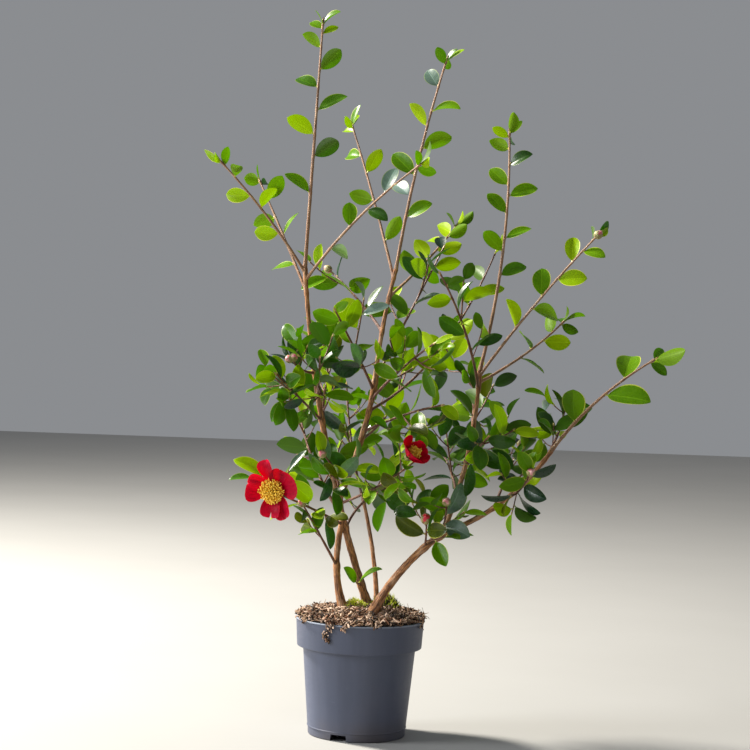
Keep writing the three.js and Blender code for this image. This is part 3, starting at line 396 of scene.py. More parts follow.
# The camera stands where the photograph was taken from, in metres
CAMERA = dict(place=(-0.0006, -2.8, 0.561), forward=(0.00315, 1, -0.0315), up=(-0.03505, 0.0316, 0.9989),
    lens=102.5, sensor=36, clip_end=50)
LIGHTS = (
    dict(name="key", place=(-2.2, 1.2, 2.5), target=(0.05, 0, 0.45), size=0.6, watts=330,
        colour=(1.0, 0.95, 0.86)),
    dict(name="fill", place=(-2.8, -0.75, 1.3), target=(0.05, 0, 0.35), size=1.3, watts=72,
        colour=(0.93, 0.96, 1.0)),
)
SKY = dict(colour=(0.92, 0.95, 1.0, 1), strength=0.28)
FLOOR = dict(size=6, squares=8, drop=-0.0006, colours=((0.36, 0.355, 0.34), (0.4, 0.395, 0.38)))


# A repeatable source of numbers from 0 to 1
def random_from(seed):
    state = seed & WORD

    def draw():
        nonlocal state
        state = (state + 0x6D2B79F5) & WORD
        z = state
        z = ((z ^ (z >> 15)) * (z | 1)) & WORD
        z ^= (z + (z ^ (z >> 7)) * (z | 61)) & WORD
        return ((z ^ (z >> 14)) & WORD) / (WORD + 1)

    return draw


def between(random, span):
    return span[0] + (span[1] - span[0]) * random()


class Limb:
    """A straight line with a bow, whose radius tapers from base to tip."""

    def __init__(self, base, tip, radii, bow=(0, 0, 0), rooted=False):
        self.base = Vector(base)
        self.tip = Vector(tip)
        self.bow = Vector(bow)
        self.radii = radii
        self.rooted = rooted
        self.length = (self.tip - self.base).length

    def point(self, t):
        return self.base.lerp(self.tip, t) + self.bow * (4 * t * (1 - t))

    def direction(self, t):
        return (self.tip - self.base + self.bow * (4 - 8 * t)).normalized()

    def radius(self, t):
        radius = self.radii[0] + (self.radii[1] - self.radii[0]) * t
        if self.rooted:
            radius *= 1 + ROOT_FLARE["gain"] * math.exp(-t * self.length / ROOT_FLARE["height"])
        return radius


# A direction swung by an angle towards another at right angles to it
def swung(start, towards, angle):
    return start * math.cos(angle) + towards * math.sin(angle)


def across_limb(direction):
    side = direction.cross(DEPTH)
    if side.length < NEARLY_ALONG:
        side = direction.cross(ACROSS)
    side.normalize()
    return side, direction.cross(side).normalized()


def outward(direction, angle):
    return swung(*across_limb(direction), angle)


# One vector made square to another
def squared(vector, direction):
    return (vector - direction * vector.dot(direction)).normalized()


def level(turn, height=0):
    return Vector((math.cos(turn), math.sin(turn), height))


def coarse_tube(limb, sides, sections, extra=0):
    points = []
    for i in range(sections + 1):
        t = i / sections
        direction = limb.direction(t)
        centre = limb.point(t)
        if i == 0:
            centre -= direction * extra
        if i == sections:
            centre += direction * extra
        radius = limb.radius(t) + extra
        points += [centre + outward(direction, CIRCLE * k / sides) * radius for k in range(sides)]
    return points, tube_faces(sides, sections)


def tube_faces(sides, sections):
    faces = []
    for i in range(sections):
        for k in range(sides):
            a = i * sides + k
            b = i * sides + (k + 1) % sides
            faces.append((a, b, b + sides, a + sides))
    faces.append(tuple(range(sides - 1, -1, -1)))
    faces.append(tuple(range(sections * sides, (sections + 1) * sides)))
    return faces


class Leaf:
    """A blade from its root along axis, with its upper side towards face."""

    def __init__(self, root, axis, face, length):
        self.root = root
        self.axis = axis
        self.face = face
        self.length = length
        self.side = axis.cross(face)
        self.at = 1
        self.tint = None
        self.slim = 1

    def point(self, along, across, height):
        slimness = LEAF["slimness"]
        lift = self.length * (LEAF["fold"] * abs(across) * slimness - LEAF["droop"] * along * along)
        half_width = 0.5 * self.length * slimness
        return (self.root + self.axis * (self.length * along) + self.side * (half_width * across)
            + self.face * (lift + height))


def blade_rim(root_points, tip_points):
    back = [(along, -across) for along, across in reversed(LEAF_SIDE)]
    return [*root_points, *LEAF_SIDE, *tip_points, *back]


def coarse_leaf(leaf):
    rim = blade_rim([(-LEAF["sunk"], 0)], [(1, 0)])
    points = [leaf.point(along, across, 0) for along, across in rim]
    over = len(points)
    points += [leaf.point(LEAF["thickest"], 0, side * LEAF["thickness"] / 2) for side in (1, -1)]
    faces = []
    for i in range(over):
        j = (i + 1) % over
        faces += [(over, i, j), (over + 1, j, i)]
    return points, faces


# A slightly swollen blade without its root, to feel for neighbours with
def probe_leaf(leaf):
    half = PROBE["thickness"] / 2
    swell = PROBE["swell"]
    root, tip = PROBE["root_width"], PROBE["tip_width"]
    rim = blade_rim([(PROBE["start"], -root), (PROBE["start"], root)], [(swell, tip), (swell, -tip)])
    points = [leaf.point(along, across * swell, height) for height in (half, -half) for along, across in rim]
    points += [leaf.point(0.5, 0, half), leaf.point(0.5, 0, -half)]
    count = len(rim)
    faces = []
    for i in range(count):
        j = (i + 1) % count
        faces += [(2 * count, i, j), (2 * count + 1, count + j, count + i), (i, count + i, count + j, j)]
    return points, faces


class Placed:
    """What has been placed so far, for a new twig or leaf to keep clear of."""

    def __init__(self):
        self.trees = []
        self.lows = []
        self.highs = []

    def add(self, points, faces):
        array = np.array([tuple(p) for p in points])
        self.trees.append(BVHTree.FromPolygons(points, faces))
        self.lows.append(array.min(axis=0))
        self.highs.append(array.max(axis=0))

    def touches(self, points, faces):
        array = np.array([tuple(p) for p in points])
        low, high = array.min(axis=0), array.max(axis=0)
        near = np.all((np.array(self.lows) <= high) & (np.array(self.highs) >= low), axis=1)
        probe = BVHTree.FromPolygons(points, faces)
        return any(probe.overlap(self.trees[i]) for i in np.flatnonzero(near))


class Mass:
    """A mass of foliage: its shoot, the twigs on it, and the sprays of leaves on each."""

    def __init__(self, index, name, size, shoot):
        self.index = index
        self.name = name
        self.size = size
        self.shoot = shoot
        self.leader = size["turn"] == HALF_TURN
        self.twigs = []
        self.sprays = []
        low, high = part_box(name)
        self.low = [v / MM - FINE["slack"] for v in low]
        self.high = [v / MM + FINE["slack"] for v in high]

    def holds(self, point):
        return all(a <= v <= b for a, v, b in zip(self.low, point, self.high))

    def stream(self, twig=0):
        return random_from(SEED + self.index + STREAMS["seed"] * self.size["seed"] + STREAMS["twig"] * twig)


# A leaf that leaves an axis at t, turned round it, leant from it and rolled about itself
def leaf_at(axis, t, turn, spread, roll, length):
    direction = axis.direction(t)
    out = outward(direction, turn)
    along = swung(direction, out, spread)
    inward = swung(direction, out, spread - math.pi / 2)
    leaf = Leaf(axis.point(t), along, swung(inward, along.cross(inward), roll), length)
    leaf.at = t
    return leaf


# Leaves along an axis. One that would touch something steps aside, or is left out.
def grow_leaves(axis, size, phase, random, mass, placed):
    spray = []
    for i in range(size["leaves"]):
        last = i == size["leaves"] - 1
        dealt = (i + 0.5 + SPRAY["jitter"] * (random() - 0.5)) / size["leaves"]
        share = min(1, dealt) ** SPRAY["crowding"]
        t = SPRAY["last_at"] if last else size["bare"] + (1 - size["bare"]) * share
        spread = math.radians(between(random, SPRAY["last_spread"] if last else SPRAY["spread"]))
        roll = math.radians((-1 if random() < 0.5 else 1) * between(random, SPRAY["roll"]))
        young = 1 - LEAF["young"] * max(0, (t - LEAF["young_from"]) / (1 - LEAF["young_from"]))
        length = LEAF["length"] * size["size"] * between(random, SPRAY["lengths"]) * young
        start = phase + size["turn"] * i + SPRAY["turn_jitter"] * (random() - 0.5)
        for step in SPRAY["steps"]:
            leaf = leaf_at(axis, t, math.radians(start + step), spread, roll, length)
            if not placed.touches(*probe_leaf(leaf)):
                placed.add(*coarse_leaf(leaf))
                spray.append(leaf)
                break
    mass.sprays.append((axis, spray))


# A side twig that leaves the shoot at t and lifts towards the light
def twig_at(shoot, t, turn, length, radii):
    direction = shoot.direction(t)
    along = swung(direction, outward(direction, turn), math.radians(TWIG["spread"]))
    base = shoot.point(t)
    lift = length * TWIG["lift"]
    return Limb(base, base + along * length + UP * lift, radii, UP * (-lift / 2))


def outer_part(twig):
    t = PROBE["twig_from"]
    return Limb(twig.point(t), twig.tip, twig.radii, twig.bow * (1 - t) ** 2)


def grow_twig(twig, size, phase, random, mass, placed):
    if placed.touches(*coarse_tube(outer_part(twig), *COARSE["twig"], PROBE["twig_extra"])):
        return
    placed.add(*coarse_tube(twig, *COARSE["twig"]))
    mass.twigs.append(twig)
    grow_leaves(twig, size, phase, random, mass, placed)


def grow_twigs(mass, placed):
    size = mass.size
    lowest = size["bare"] * TWIG["lowest"]
    for i in range(size["twigs"]):
        random = mass.stream(i + 1)
        dealt = (i + 0.5 + TWIG["jitter"] * (random() - 0.5)) / size["twigs"]
        turn = size["phase"] + TWIG["turn_from"] + GOLDEN_TURN * i + TWIG["turn_jitter"] * (random() - 0.5)
        length = size["twig_length"] * between(random, TWIG["lengths"])
        at = lowest + (TWIG["highest"] - lowest) * dealt
        twig = twig_at(mass.shoot, at, math.radians(turn), length, TWIG["radii"])
        phase = 360 * random()
        grow_twig(twig, dict(TWIG, turn=GOLDEN_TURN, size=size["size"]), phase, random, mass, placed)


# The rule carried on: finer twigs on the shoots and twigs of the core, inside the mass's box
def grow_fine_twigs(mass, placed):
    hosts = [mass.shoot, *mass.twigs]
    for i in range(FINE["count"]):
        random = mass.stream(FINE["stream"] + i)
        at = between(random, FINE["places"])
        turn = CIRCLE * random()
        twig = twig_at(hosts[i % len(hosts)], at, turn, between(random, FINE["lengths"]), FINE["radii"])
        phase = 360 * random()
        if mass.holds(twig.tip) and twig.tip.z < FINE["highest"]:
            grow_twig(twig, FINE, phase, random, mass, placed)


def grow_tip(mass, placed):
    random = mass.stream(TIP["stream"])
    grow_leaves(mass.shoot, TIP, 360 * random(), random, mass, placed)


def build_limbs(placed):
    limbs = {}
    for name, size in LIMBS.items():
        on = size.get("on")
        base = limbs[on].point(size["at"]) if on else size["base"]
        limb = Limb(base, size["tip"], size["radii"], size["bow"], rooted=not on)
        limb.on = on
        placed.add(*coarse_tube(limb, *COARSE["bough" if on else "stem"]))
        limbs[name] = limb
    return limbs


def build_masses(limbs, placed):
    masses = []
    for index, (name, (on, at, tip, given)) in enumerate(MASSES.items()):
        size = {**SHOOT, **given, "on": on, "at": at}
        shoot = Limb(limbs[on].point(at), tip, size["radii"], size["bow"])
        sections = max(COARSE_SHOOT["fewest"], round(shoot.length / COARSE_SHOOT["step"]))
        placed.add(*coarse_tube(shoot, COARSE_SHOOT["sides"], sections))
        masses.append(Mass(index, name, size, shoot))
    for mass in masses:
        for bud in flower_buds(mass):
            placed.add(*coarse_tube(bud, *COARSE["bud"]))
        if mass.size["bloom"]:
            place_bloom(mass, placed)
    for mass in masses:
        grow_leaves(mass.shoot, mass.size, mass.size["phase"], mass.stream(), mass, placed)
        grow_twigs(mass, placed)
    for mass in masses:
        if mass.leader:
            grow_tip(mass, placed)
        elif mass.size["leaves"] >= FINE["host_leaves"]:
            grow_fine_twigs(mass, placed)
    return masses


# The flower buds fan out at the shoot's tip.
def flower_buds(mass):
    count = mass.size["buds"]
    direction = mass.shoot.direction(1)
    side, near = across_limb(direction)
    root = mass.shoot.point(BUD["seat"])
    buds = []
    for i in range(count):
        lean = math.radians(BUD["fan"] * (2 * i / (count - 1) - 1)) if count > 1 else 0
        axis = (swung(direction, side, lean) + near * BUD["tilt"]).normalized()
        buds.append(Limb(root, root + axis * BUD["length"], (BUD["radius"], BUD["radius"])))
    return buds


class Bloom:
    """A flower at a shoot's tip: where it stands and faces, seen from the front."""

    def __init__(self, mass):
        self.given = BLOOMS[mass.size["bloom"]]
        self.axis = Vector(self.given["axis"]).normalized()
        self.right = squared(ACROSS, self.axis)
        self.up = self.right.cross(-self.axis)
        self.centre = mass.shoot.point(1) + Vector(self.given["shift"])

    def ray(self, turn):
        return swung(self.right, self.up, math.radians(turn))

    # Along a petal, and the way its inner side faces
    def petal_axes(self, petal):
        out, spread = self.ray(petal["turn"]), math.radians(petal["spread"])
        return swung(self.axis, out, spread), swung(self.axis, out, spread - math.pi / 2)


# Room for a bloom: a boss, a coarse leaf for each petal, and the leaves behind it
def place_bloom(mass, placed):
    bloom = Bloom(mass)
    centre = bloom.centre
    radius, height = bloom.given["boss"]
    top = centre + bloom.axis * (height + BLOOM_ROOM["extra"])
    placed.add(*coarse_tube(Limb(centre, top, (BLOOM_ROOM["foot_radius"], radius)), *COARSE["boss"]))
    for petal in bloom.given["petals"]:
        placed.add(*coarse_leaf(Leaf(centre, *bloom.petal_axes(petal), petal["length"])))
    for look in bloom.given["leaves"]:
        direction = Vector(look["axis"]).normalized()
        leaf = Leaf(centre + Vector(look["root"]), direction, squared(Vector(look["face"]), direction),
            look["length"])
        leaf.tint, leaf.slim = look["tint"], look["slim"]
        placed.add(*coarse_leaf(leaf))
        twig = Limb(mass.shoot.point(BLOOM_ROOM["twig_from"]), leaf.root, TWIG["radii"])
        mass.twigs.append(twig)
        mass.sprays.append((twig, [leaf]))


def linked(name, data):
    made = bpy.data.objects.new(name, data)
    bpy.context.scene.collection.objects.link(made)
    return made


def dressed(made, nodes):
    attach(made, "root")
    if nodes:
        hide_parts(*nodes)


def mesh_of(shape, name):
    mesh = bpy.data.meshes.new(name)
    shape.to_mesh(mesh)
    shape.free()
    return mesh


class Piece:
    """One joined mesh, gathered in millimetres, with a finish for each face."""

    def __init__(self, name, *finishes):
        self.name = name
        self.finishes = finishes
        self.points = []
        self.grain = []
        self.marks = []
        self.faces = []
        self.looks = []
        self.count = 0

    def add(self, points, faces, grain=None, marks=None, look=0):
        size = len(points)
        self.points.append(np.array([tuple(p) for p in points], dtype=float))
        self.grain.append(np.zeros((size, 3)) if grain is None else np.asarray(grain, dtype=float))
        self.marks.append(np.zeros(size) if marks is None else np.asarray(marks, dtype=float))
        self.faces += [tuple(self.count + v for v in face) for face in faces]
        self.looks += look if isinstance(look, list) else [look] * len(faces)
        self.count += size

    def build(self, slot, nodes=(), sharp=50):
        mesh = bpy.data.meshes.new(self.name)
        mesh.from_pydata((np.concatenate(self.points) * MM).tolist(), [], self.faces)
        mesh.polygons.foreach_set("material_index", self.looks)
        mesh.polygons.foreach_set("use_smooth", [True] * len(self.faces))
        grain = mesh.attributes.new("grain", "FLOAT_VECTOR", "POINT")
        grain.data.foreach_set("vector", np.concatenate(self.grain).ravel())
        mark = mesh.attributes.new("mark", "FLOAT", "POINT")
        mark.data.foreach_set("value", np.concatenate(self.marks))
        shape = bmesh.new()
        shape.from_mesh(mesh)
        bmesh.ops.recalc_face_normals(shape, faces=shape.faces)
        shape.to_mesh(mesh)
        shape.free()
        mesh.set_sharp_from_angle(angle=math.radians(sharp))
        for finish in self.finishes:
            mesh.materials.append(finish)
        dressed(linked(self.name, mesh), nodes)


# A thin closed blade such as a leaf or a petal. over and under are the columns of its two
# sides, as shares of its half width, and outline gives its half width along its length.
def blade(root, axis, face, length, width, outline, over, under, form):
    root, axis, face = (np.array(tuple(v)) for v in (root, axis, face))
    along, half = np.array(outline).T
    bend = form["bend"] * along + form["curl"] * along ** BLADE["curl_power"]
    steps = np.diff(along, prepend=0)
    middle = bend - 0.5 * np.diff(bend, prepend=0)
    forward = length * np.cumsum(np.cos(middle) * steps)
    drop = length * np.cumsum(np.sin(middle) * steps)
    columns = np.array(over + under)
    inner = 1 - columns ** 2
    skin = np.concatenate([inner[:len(over)], -inner[len(over):]]) * form["thickness"] / 2
    side = np.cross(axis, face)
    twist = form["twist"] * along
    normal = np.sin(bend)[:, None] * axis + np.cos(bend)[:, None] * face
    beside = np.cos(twist)[:, None] * side + np.sin(twist)[:, None] * normal
    above = np.cos(twist)[:, None] * normal - np.sin(twist)[:, None] * side
    spine = root + forward[:, None] * axis - drop[:, None] * face
    spine = spine + (form["sway"] * length * along ** 2)[:, None] * side
    reach = half[:, None] * columns[None, :]
    notch = form["notch"] * length * (1 - np.abs(columns)) ** 2 * (along[:, None] ** BLADE["notch_power"])
    wave = form["wave"] * length * np.sin(form["waves"] * along[:, None] + form["phase"]
        + BLADE["wave_shift"] * np.sign(columns)) * reach ** 2
    lift = form["fold"] * width * np.abs(reach) ** form["crease"] + wave + skin[None, :]
    points = (spine[:, None, :] + (0.5 * width * reach)[..., None] * beside[:, None, :]
        + lift[..., None] * above[:, None, :] - notch[..., None] * axis)
    grain = [(across, lengthwise, form["tag"]) for lengthwise in along for across in columns]
    return points.reshape(-1, 3), tube_faces(len(columns), len(along) - 1), grain


def ripple(cos, sin, run, size, shift):
    girth, step = size
    return noise.noise((cos * girth, sin * girth, run / step + shift))


# A tube round a limb for the eye: knots swell it, bark cuts fissures into it, and sunk
# carries its foot down into the compost.
def fine_tube(limb, seed, knots, sides, spacing, lumps, bark=0.0, sunk=0.0):
    sections = max(FEWEST_SECTIONS, round(limb.length / spacing))
    guide = across_limb(limb.direction(0.5))[0]
    stations = [(0, sunk)] * (sunk > 0) + [(i / sections, 0) for i in range(sections + 1)]
    points, grain, marks = [], [], []
    for t, depth in stations:
        direction = UP if limb.rooted and t == 0 else limb.direction(t)
        side = squared(guide, direction)
        near = direction.cross(side)
        centre = limb.point(t) - direction * depth
        run = t * limb.length
        radius = limb.radius(t)
        for at, gain, width in knots:
            radius += gain * math.exp(-((run - at) / width) ** 2)
        for k in range(sides):
            turn = CIRCLE * k / sides
            cos, sin = math.cos(turn), math.sin(turn)
            split = ripple(cos, sin, run, RIPPLES["split"], seed)
            fine = ripple(cos, sin, run, RIPPLES["fine"], -seed)
            lump = ripple(cos, sin, run, RIPPLES["lump"], LUMP_SHIFT + seed)
            groove = (math.exp(-(split / GROOVE["split"]) ** 2)
                + GROOVE["fine_share"] * math.exp(-(fine / GROOVE["fine"]) ** 2))
            reach = radius * (1 + lumps * lump) - bark * groove
            points.append(centre + (side * cos + near * sin) * reach)
            grain.append((cos * radius, sin * radius, run + GRAIN_STEP * seed))
            # A limb's mark is how deep its fissures are cut, which the bark finish darkens as painted shade
            marks.append(min(1, groove) if bark else lump)
    return points, tube_faces(sides, len(stations) - 1), grain, marks


# A closed round form along an axis, such as a bud
def spindle(root, axis, length, radius, sides, profile):
    points, grain = [], []
    for along, share in profile:
        for k in range(sides):
            turn = CIRCLE * k / sides
            points.append(root + axis * (length * along) + outward(axis, turn) * (radius * share))
            grain.append((turn, along, length))
    return points, tube_faces(sides, len(profile) - 1), grain


# A scale hugs a bud: a closed shell round part of its girth, ending in a point.
def bud_scale(root, axis, length, radius, turn, girth, start, reach):
    columns = SCALE_OVER + SCALE_UNDER
    points, grain = [], []
    for share, half in SCALE_OUTLINE:
        along = start + (reach - start) * share
        at = np.interp(along, *zip(*BUD_PROFILE))
        for k, column in enumerate(columns):
            over = SCALE_FORM["lift"] * (1 + share) * (1 - abs(column))
            lift = over if k < len(SCALE_OVER) else -SCALE_FORM["lift"]
            away = radius * at + SCALE_FORM["gap"] + lift
            out = outward(axis, turn + column * girth * half)
            points.append(root + axis * (length * along) + out * away)
            grain.append((column, along, length))
    return points, tube_faces(len(columns), len(SCALE_OUTLINE) - 1), grain


def add_flower_bud(piece, bud, look, rng):
    grown = BUD_GROWTH["red"] if look == RED else 1
    form = (bud.base, bud.direction(0), BUD_GROWTH["length"] * grown * bud.length,
        BUD_GROWTH["radius"] * grown * bud.radii[0])
    piece.add(*spindle(*form, BUD_SIDES, BUD_PROFILE), look=look)
    first = rng.uniform(0, CIRCLE)
    for ring, (start, reach, count) in enumerate(SCALE_RINGS):
        for k in range(count):
            turn = first + ring * SCALE_FORM["ring_turn"] + CIRCLE * k / count
            piece.add(*bud_scale(*form, turn, SCALE_FORM["girth"], start, reach), look=SCALE)


def add_shoot_bud(piece, root, axis, length, radius):
    piece.add(*spindle(root, axis, length, radius, SHOOT_BUD_SIZE["sides"], SHOOT_BUD_PROFILE),
        look=SHOOT_BUD)


# The limbs: one bark mesh for each stem and bough, with collars where others spring from it
def build_bark(limbs, masses, finish):
    for order, (name, limb) in enumerate(limbs.items()):
        at, gain, width = COLLAR["foot"]
        knots = [(at, gain * limb.radii[0], width)] if limb.on else []
        knots += [((child.base - limb.base).length, *COLLAR["bough"])
            for child in limbs.values() if child.on == name]
        knots += [(mass.size["at"] * limb.length, *COLLAR["shoot"])
            for mass in masses if mass.size["on"] == name]
        knots += [(RINGS["step"] * (k + RINGS["sway"] * math.sin(RINGS["beat"] * k)), *COLLAR["ring"])
            for k in range(1, int(limb.length / RINGS["step"]))]
        piece = Piece(name + "_bark", finish)
        piece.add(*fine_tube(limb, order, knots, **WOOD["limb"], sunk=FOOT_SUNK * limb.rooted))
        piece.build("bark", [name], sharp=80)


# The wood of the masses: a leader's shoot has bark of its own, and leaves stand on knots.
def build_wood(masses, shoot_finish, twig_finish):
    shoots = Piece("shoots", shoot_finish, twig_finish)
    for mass in masses:
        for order, axis in enumerate([mass.shoot, *mass.twigs]):
            main = axis is mass.shoot
            kind = "shoot" if main else "twig"
            knots = [(leaf.at * axis.length, *LEAF_KNOTS[kind]) for on, leaves in mass.sprays
                if on is axis for leaf in leaves]
            if main:
                knots.append(SHOOT_FOOT)
            form = fine_tube(axis, mass.index + SEED_STEP * order, knots, **WOOD[kind])
            shoots.add(*form, look=0 if main and mass.leader else 1)
    shoots.build("bark", [mass.name for mass in masses], sharp=80)


def build_buds(masses, finishes, rng):
    buds = Piece("buds", *finishes)
    for mass in masses:
        for bud in flower_buds(mass):
            add_flower_bud(buds, bud, RED if mass.name == "red_bud_twig" else PINK, rng)
        for axis, spray in mass.sprays:
            direction = axis.direction(1)
            main = axis is mass.shoot
            size = 1.0 if main else SHOOT_BUD_SIZE["twig"]
            if not (mass.size["bloom"] and main):
                add_shoot_bud(buds, axis.point(1) - direction, direction, SHOOT_BUD_SIZE["length"] * size,
                    SHOOT_BUD_SIZE["radius"] * size)
            for leaf in spray:
                along = (axis.direction(leaf.at) + leaf.axis).normalized()
                root = leaf.root + along * axis.radius(leaf.at) * LEAF_BUD_SIZE["seat"]
                add_shoot_bud(buds, root, along, rng.uniform(*LEAF_BUD_SIZE["lengths"]) * size,
                    LEAF_BUD_SIZE["radius"] * size)
    buds.build("foliage", [mass.name for mass in masses])


def leaf_form(rng):
    return dict(bend=rng.uniform(0.1, 0.5), curl=rng.uniform(-0.12, 0.22), twist=rng.normal(0, 0.16),
        sway=rng.normal(0, 0.035), notch=0, wave=rng.uniform(0.0, 0.006), waves=rng.uniform(9, 15),
        phase=rng.uniform(0, 6), fold=rng.uniform(0.08, 0.26), crease=1.25, thickness=0.55,
        tag=rng.uniform())


def add_leaf(piece, leaf, slim, form):
    width = leaf.length * LEAF["slimness"] * leaf.slim * slim
    looks = LEAF_LOOKS * (len(LEAF_OUTLINE) - 1) + [EDGE, EDGE]
    piece.add(*blade(leaf.root, leaf.axis, leaf.face, leaf.length, width, LEAF_OUTLINE, LEAF_OVER,
        LEAF_UNDER, form), look=looks)
    stalk = Limb(leaf.root, leaf.point(STALK["along"], 0, STALK["drop"]), STALK["radii"])
    points, faces = coarse_tube(stalk, STALK["sides"], STALK["sections"])
    piece.add(points, faces, [(0, 0, form["tag"])] * len(points), look=EDGE)


def build_leaves(masses, finishes, rng):
    pieces = {tint: Piece("leaves_" + tint, *finish) for tint, finish in finishes.items()}
    tints = list(finishes)
    for mass in masses:
        for axis, spray in mass.sprays:
            # The zone sets the shares: more painted light on leaders, more painted shade in the core and low
            # down
            zone = "leader" if mass.leader else "low" if axis.tip.z < LOW_CROWN else "core"
            weights = TINT_SHARES[zone]
            main = tints[rng.choice(len(tints), p=weights)]
            for leaf in spray:
                tint = main if rng.uniform() < SPRAY_UNITY else tints[rng.choice(len(tints), p=weights)]
                form = leaf_form(rng)
                add_leaf(pieces[leaf.tint or mass.size["tint"] or tint], leaf,
                    rng.uniform(*SLIM_SPREAD[zone]), form)
    for piece in pieces.values():
        piece.build("foliage", [mass.name for mass in masses], sharp=60)


def build_blooms(masses, petal_finish, stamen_finishes, bud_finishes, rng):
    petals = Piece("petals", petal_finish)
    stamens = Piece("stamens", *stamen_finishes)
    calyx = Piece("calyx", *bud_finishes)
    blooming = [mass for mass in masses if mass.size["bloom"]]
    for mass in blooming:
        bloom = Bloom(mass)
        foot = bloom.centre - bloom.axis * CALYX["sunk"]
        for k in range(CALYX["count"]):
            reach = CALYX["reach"] + CALYX["step"] * (k % CALYX["steps"])
            calyx.add(*bud_scale(foot, bloom.axis, CALYX["length"], CALYX["radius"], CALYX["turn"] * k,
                CALYX["girth"], CALYX["start"], reach), look=SCALE)
        for petal in bloom.given["petals"]:
            form = dict(PETAL_FORM, tag=rng.uniform(), phase=rng.uniform(0, 6))
            form.update({key: value for key, value in petal.items() if key in form})
            petals.add(*blade(bloom.centre - bloom.axis * PETAL_ROOT, *bloom.petal_axes(petal),
                petal["length"], petal["width"], PETAL_OUTLINE, PETAL_OVER, PETAL_UNDER, form))
        add_stamens(stamens, bloom, rng)
    for piece, sharp in ((petals, 70), (stamens, 50), (calyx, 50)):
        piece.build("foliage", [mass.name for mass in blooming], sharp)


# Stamens stand in a tuft: thin filaments that lean out from the middle, each with its anther
def add_stamens(piece, bloom, rng):
    radius, height = bloom.given["boss"]
    count = bloom.given["stamens"]
    lean_out, lean_up = STAMEN["bow"]
    for k in range(count):
        reach = radius * math.sqrt((k + 0.5) / count)
        out = bloom.ray(GOLDEN_TURN * k)
        top = height * rng.uniform(*STAMEN["heights"]) * (1 - STAMEN["fall"] * (reach / radius) ** 2)
        root = bloom.centre + out * (reach * STAMEN["root"])
        tip = bloom.centre + out * reach + bloom.axis * top + Vector(rng.normal(0, STAMEN["stray"], 3))
        filament = Limb(root, tip, STAMEN["radii"], out * lean_out + bloom.axis * lean_up)
        piece.add(*coarse_tube(filament, STAMEN["sides"], STAMEN["sections"]), look=0)
        lean = (out + Vector(rng.normal(0, ANTHER["stray"], 3))).normalized()
        piece.add(*spindle(tip - lean * ANTHER["seat"], lean, ANTHER["length"], ANTHER["radius"],
            ANTHER["sides"], ANTHER_PROFILE), look=1)


# A closed outline with its corners rounded
def rounded(outline):
    steps = POT_FORM["corner_steps"]
    points = []
    for i, here in enumerate(outline):
        here, before, after = (Vector(p) for p in (here, outline[i - 1], outline[(i + 1) % len(outline)]))
        back, on = before - here, after - here
        cut = min(POT_FORM["corner"], POT_FORM["corner_share"] * min(back.length, on.length))
        start, end = here + back.normalized() * cut, here + on.normalized() * cut
        for k in range(steps + 1):
            t = k / steps
            points.append(start * (1 - t) ** 2 + here * (2 * t * (1 - t)) + end * t ** 2)
    return points


# A closed wall turned from an outline that starts and ends on the axis
def lathe_mesh(name, outline, segments):
    shape = bmesh.new()
    rings = []
    for point in outline:
        if point.x == 0:
            rings.append([shape.verts.new((0, 0, point.y * MM))] * segments)
            continue
        turns = [CIRCLE * k / segments for k in range(segments)]
        rings.append([shape.verts.new((point.x * math.cos(turn) * MM, point.x * math.sin(turn) * MM,
            point.y * MM)) for turn in turns])
    for a, b in zip(rings, rings[1:]):
        for k in range(segments):
            j = (k + 1) % segments
            shape.faces.new(list(dict.fromkeys((a[k], a[j], b[j], b[k]))))
    bmesh.ops.recalc_face_normals(shape, faces=shape.faces)
    return mesh_of(shape, name)


def pot_outline():
    band_bottom = POT_HEIGHT - BAND["height"]
    step = BAND["bottom_radius"] - BAND["step"]
    ring_inside = FOOT["radius"] - FOOT["ring_width"]
    channel = FOOT["channel_height"]
    lip = RIM_RADIUS - LIP["overhang"]
    lip_bottom = POT_HEIGHT - LIP["height"]
    ledge = FOOT["radius"] + FOOT["ledge"]
    skirt_top, bead_low, bead_high, bead_top = (FOOT["height"] + rise for rise in BEAD["rises"])
    outside = [
        (CENTRE_PAD_RADIUS, 0), (CENTRE_PAD_RADIUS, channel), (ring_inside, channel), (ring_inside, 0),
        (FOOT["radius"], 0), (FOOT["radius"] + BEAD["draft"], skirt_top), (ledge + BEAD["out"], bead_low),
        (ledge + BEAD["out"], bead_high), (ledge, bead_top), (step, band_bottom - BAND["slope"]),
        (BAND["bottom_radius"], band_bottom), (lip, lip_bottom - LIP["under"]), (RIM_RADIUS, lip_bottom),
        (RIM_RADIUS, POT_HEIGHT),
    ]
    inside = [
        (lip - WALL, POT_HEIGHT), (BAND["bottom_radius"] - WALL, band_bottom + WALL),
        (step - WALL, band_bottom), (ledge - WALL, FOOT["height"] + WALL),
        (FOOT["radius"] - WALL, channel + WALL), (CENTRE_PAD_RADIUS - WALL, channel + WALL),
        (CENTRE_PAD_RADIUS - WALL, WALL),
    ]
    return [Vector((0, 0)), *rounded(outside + inside), Vector((0, WALL))]


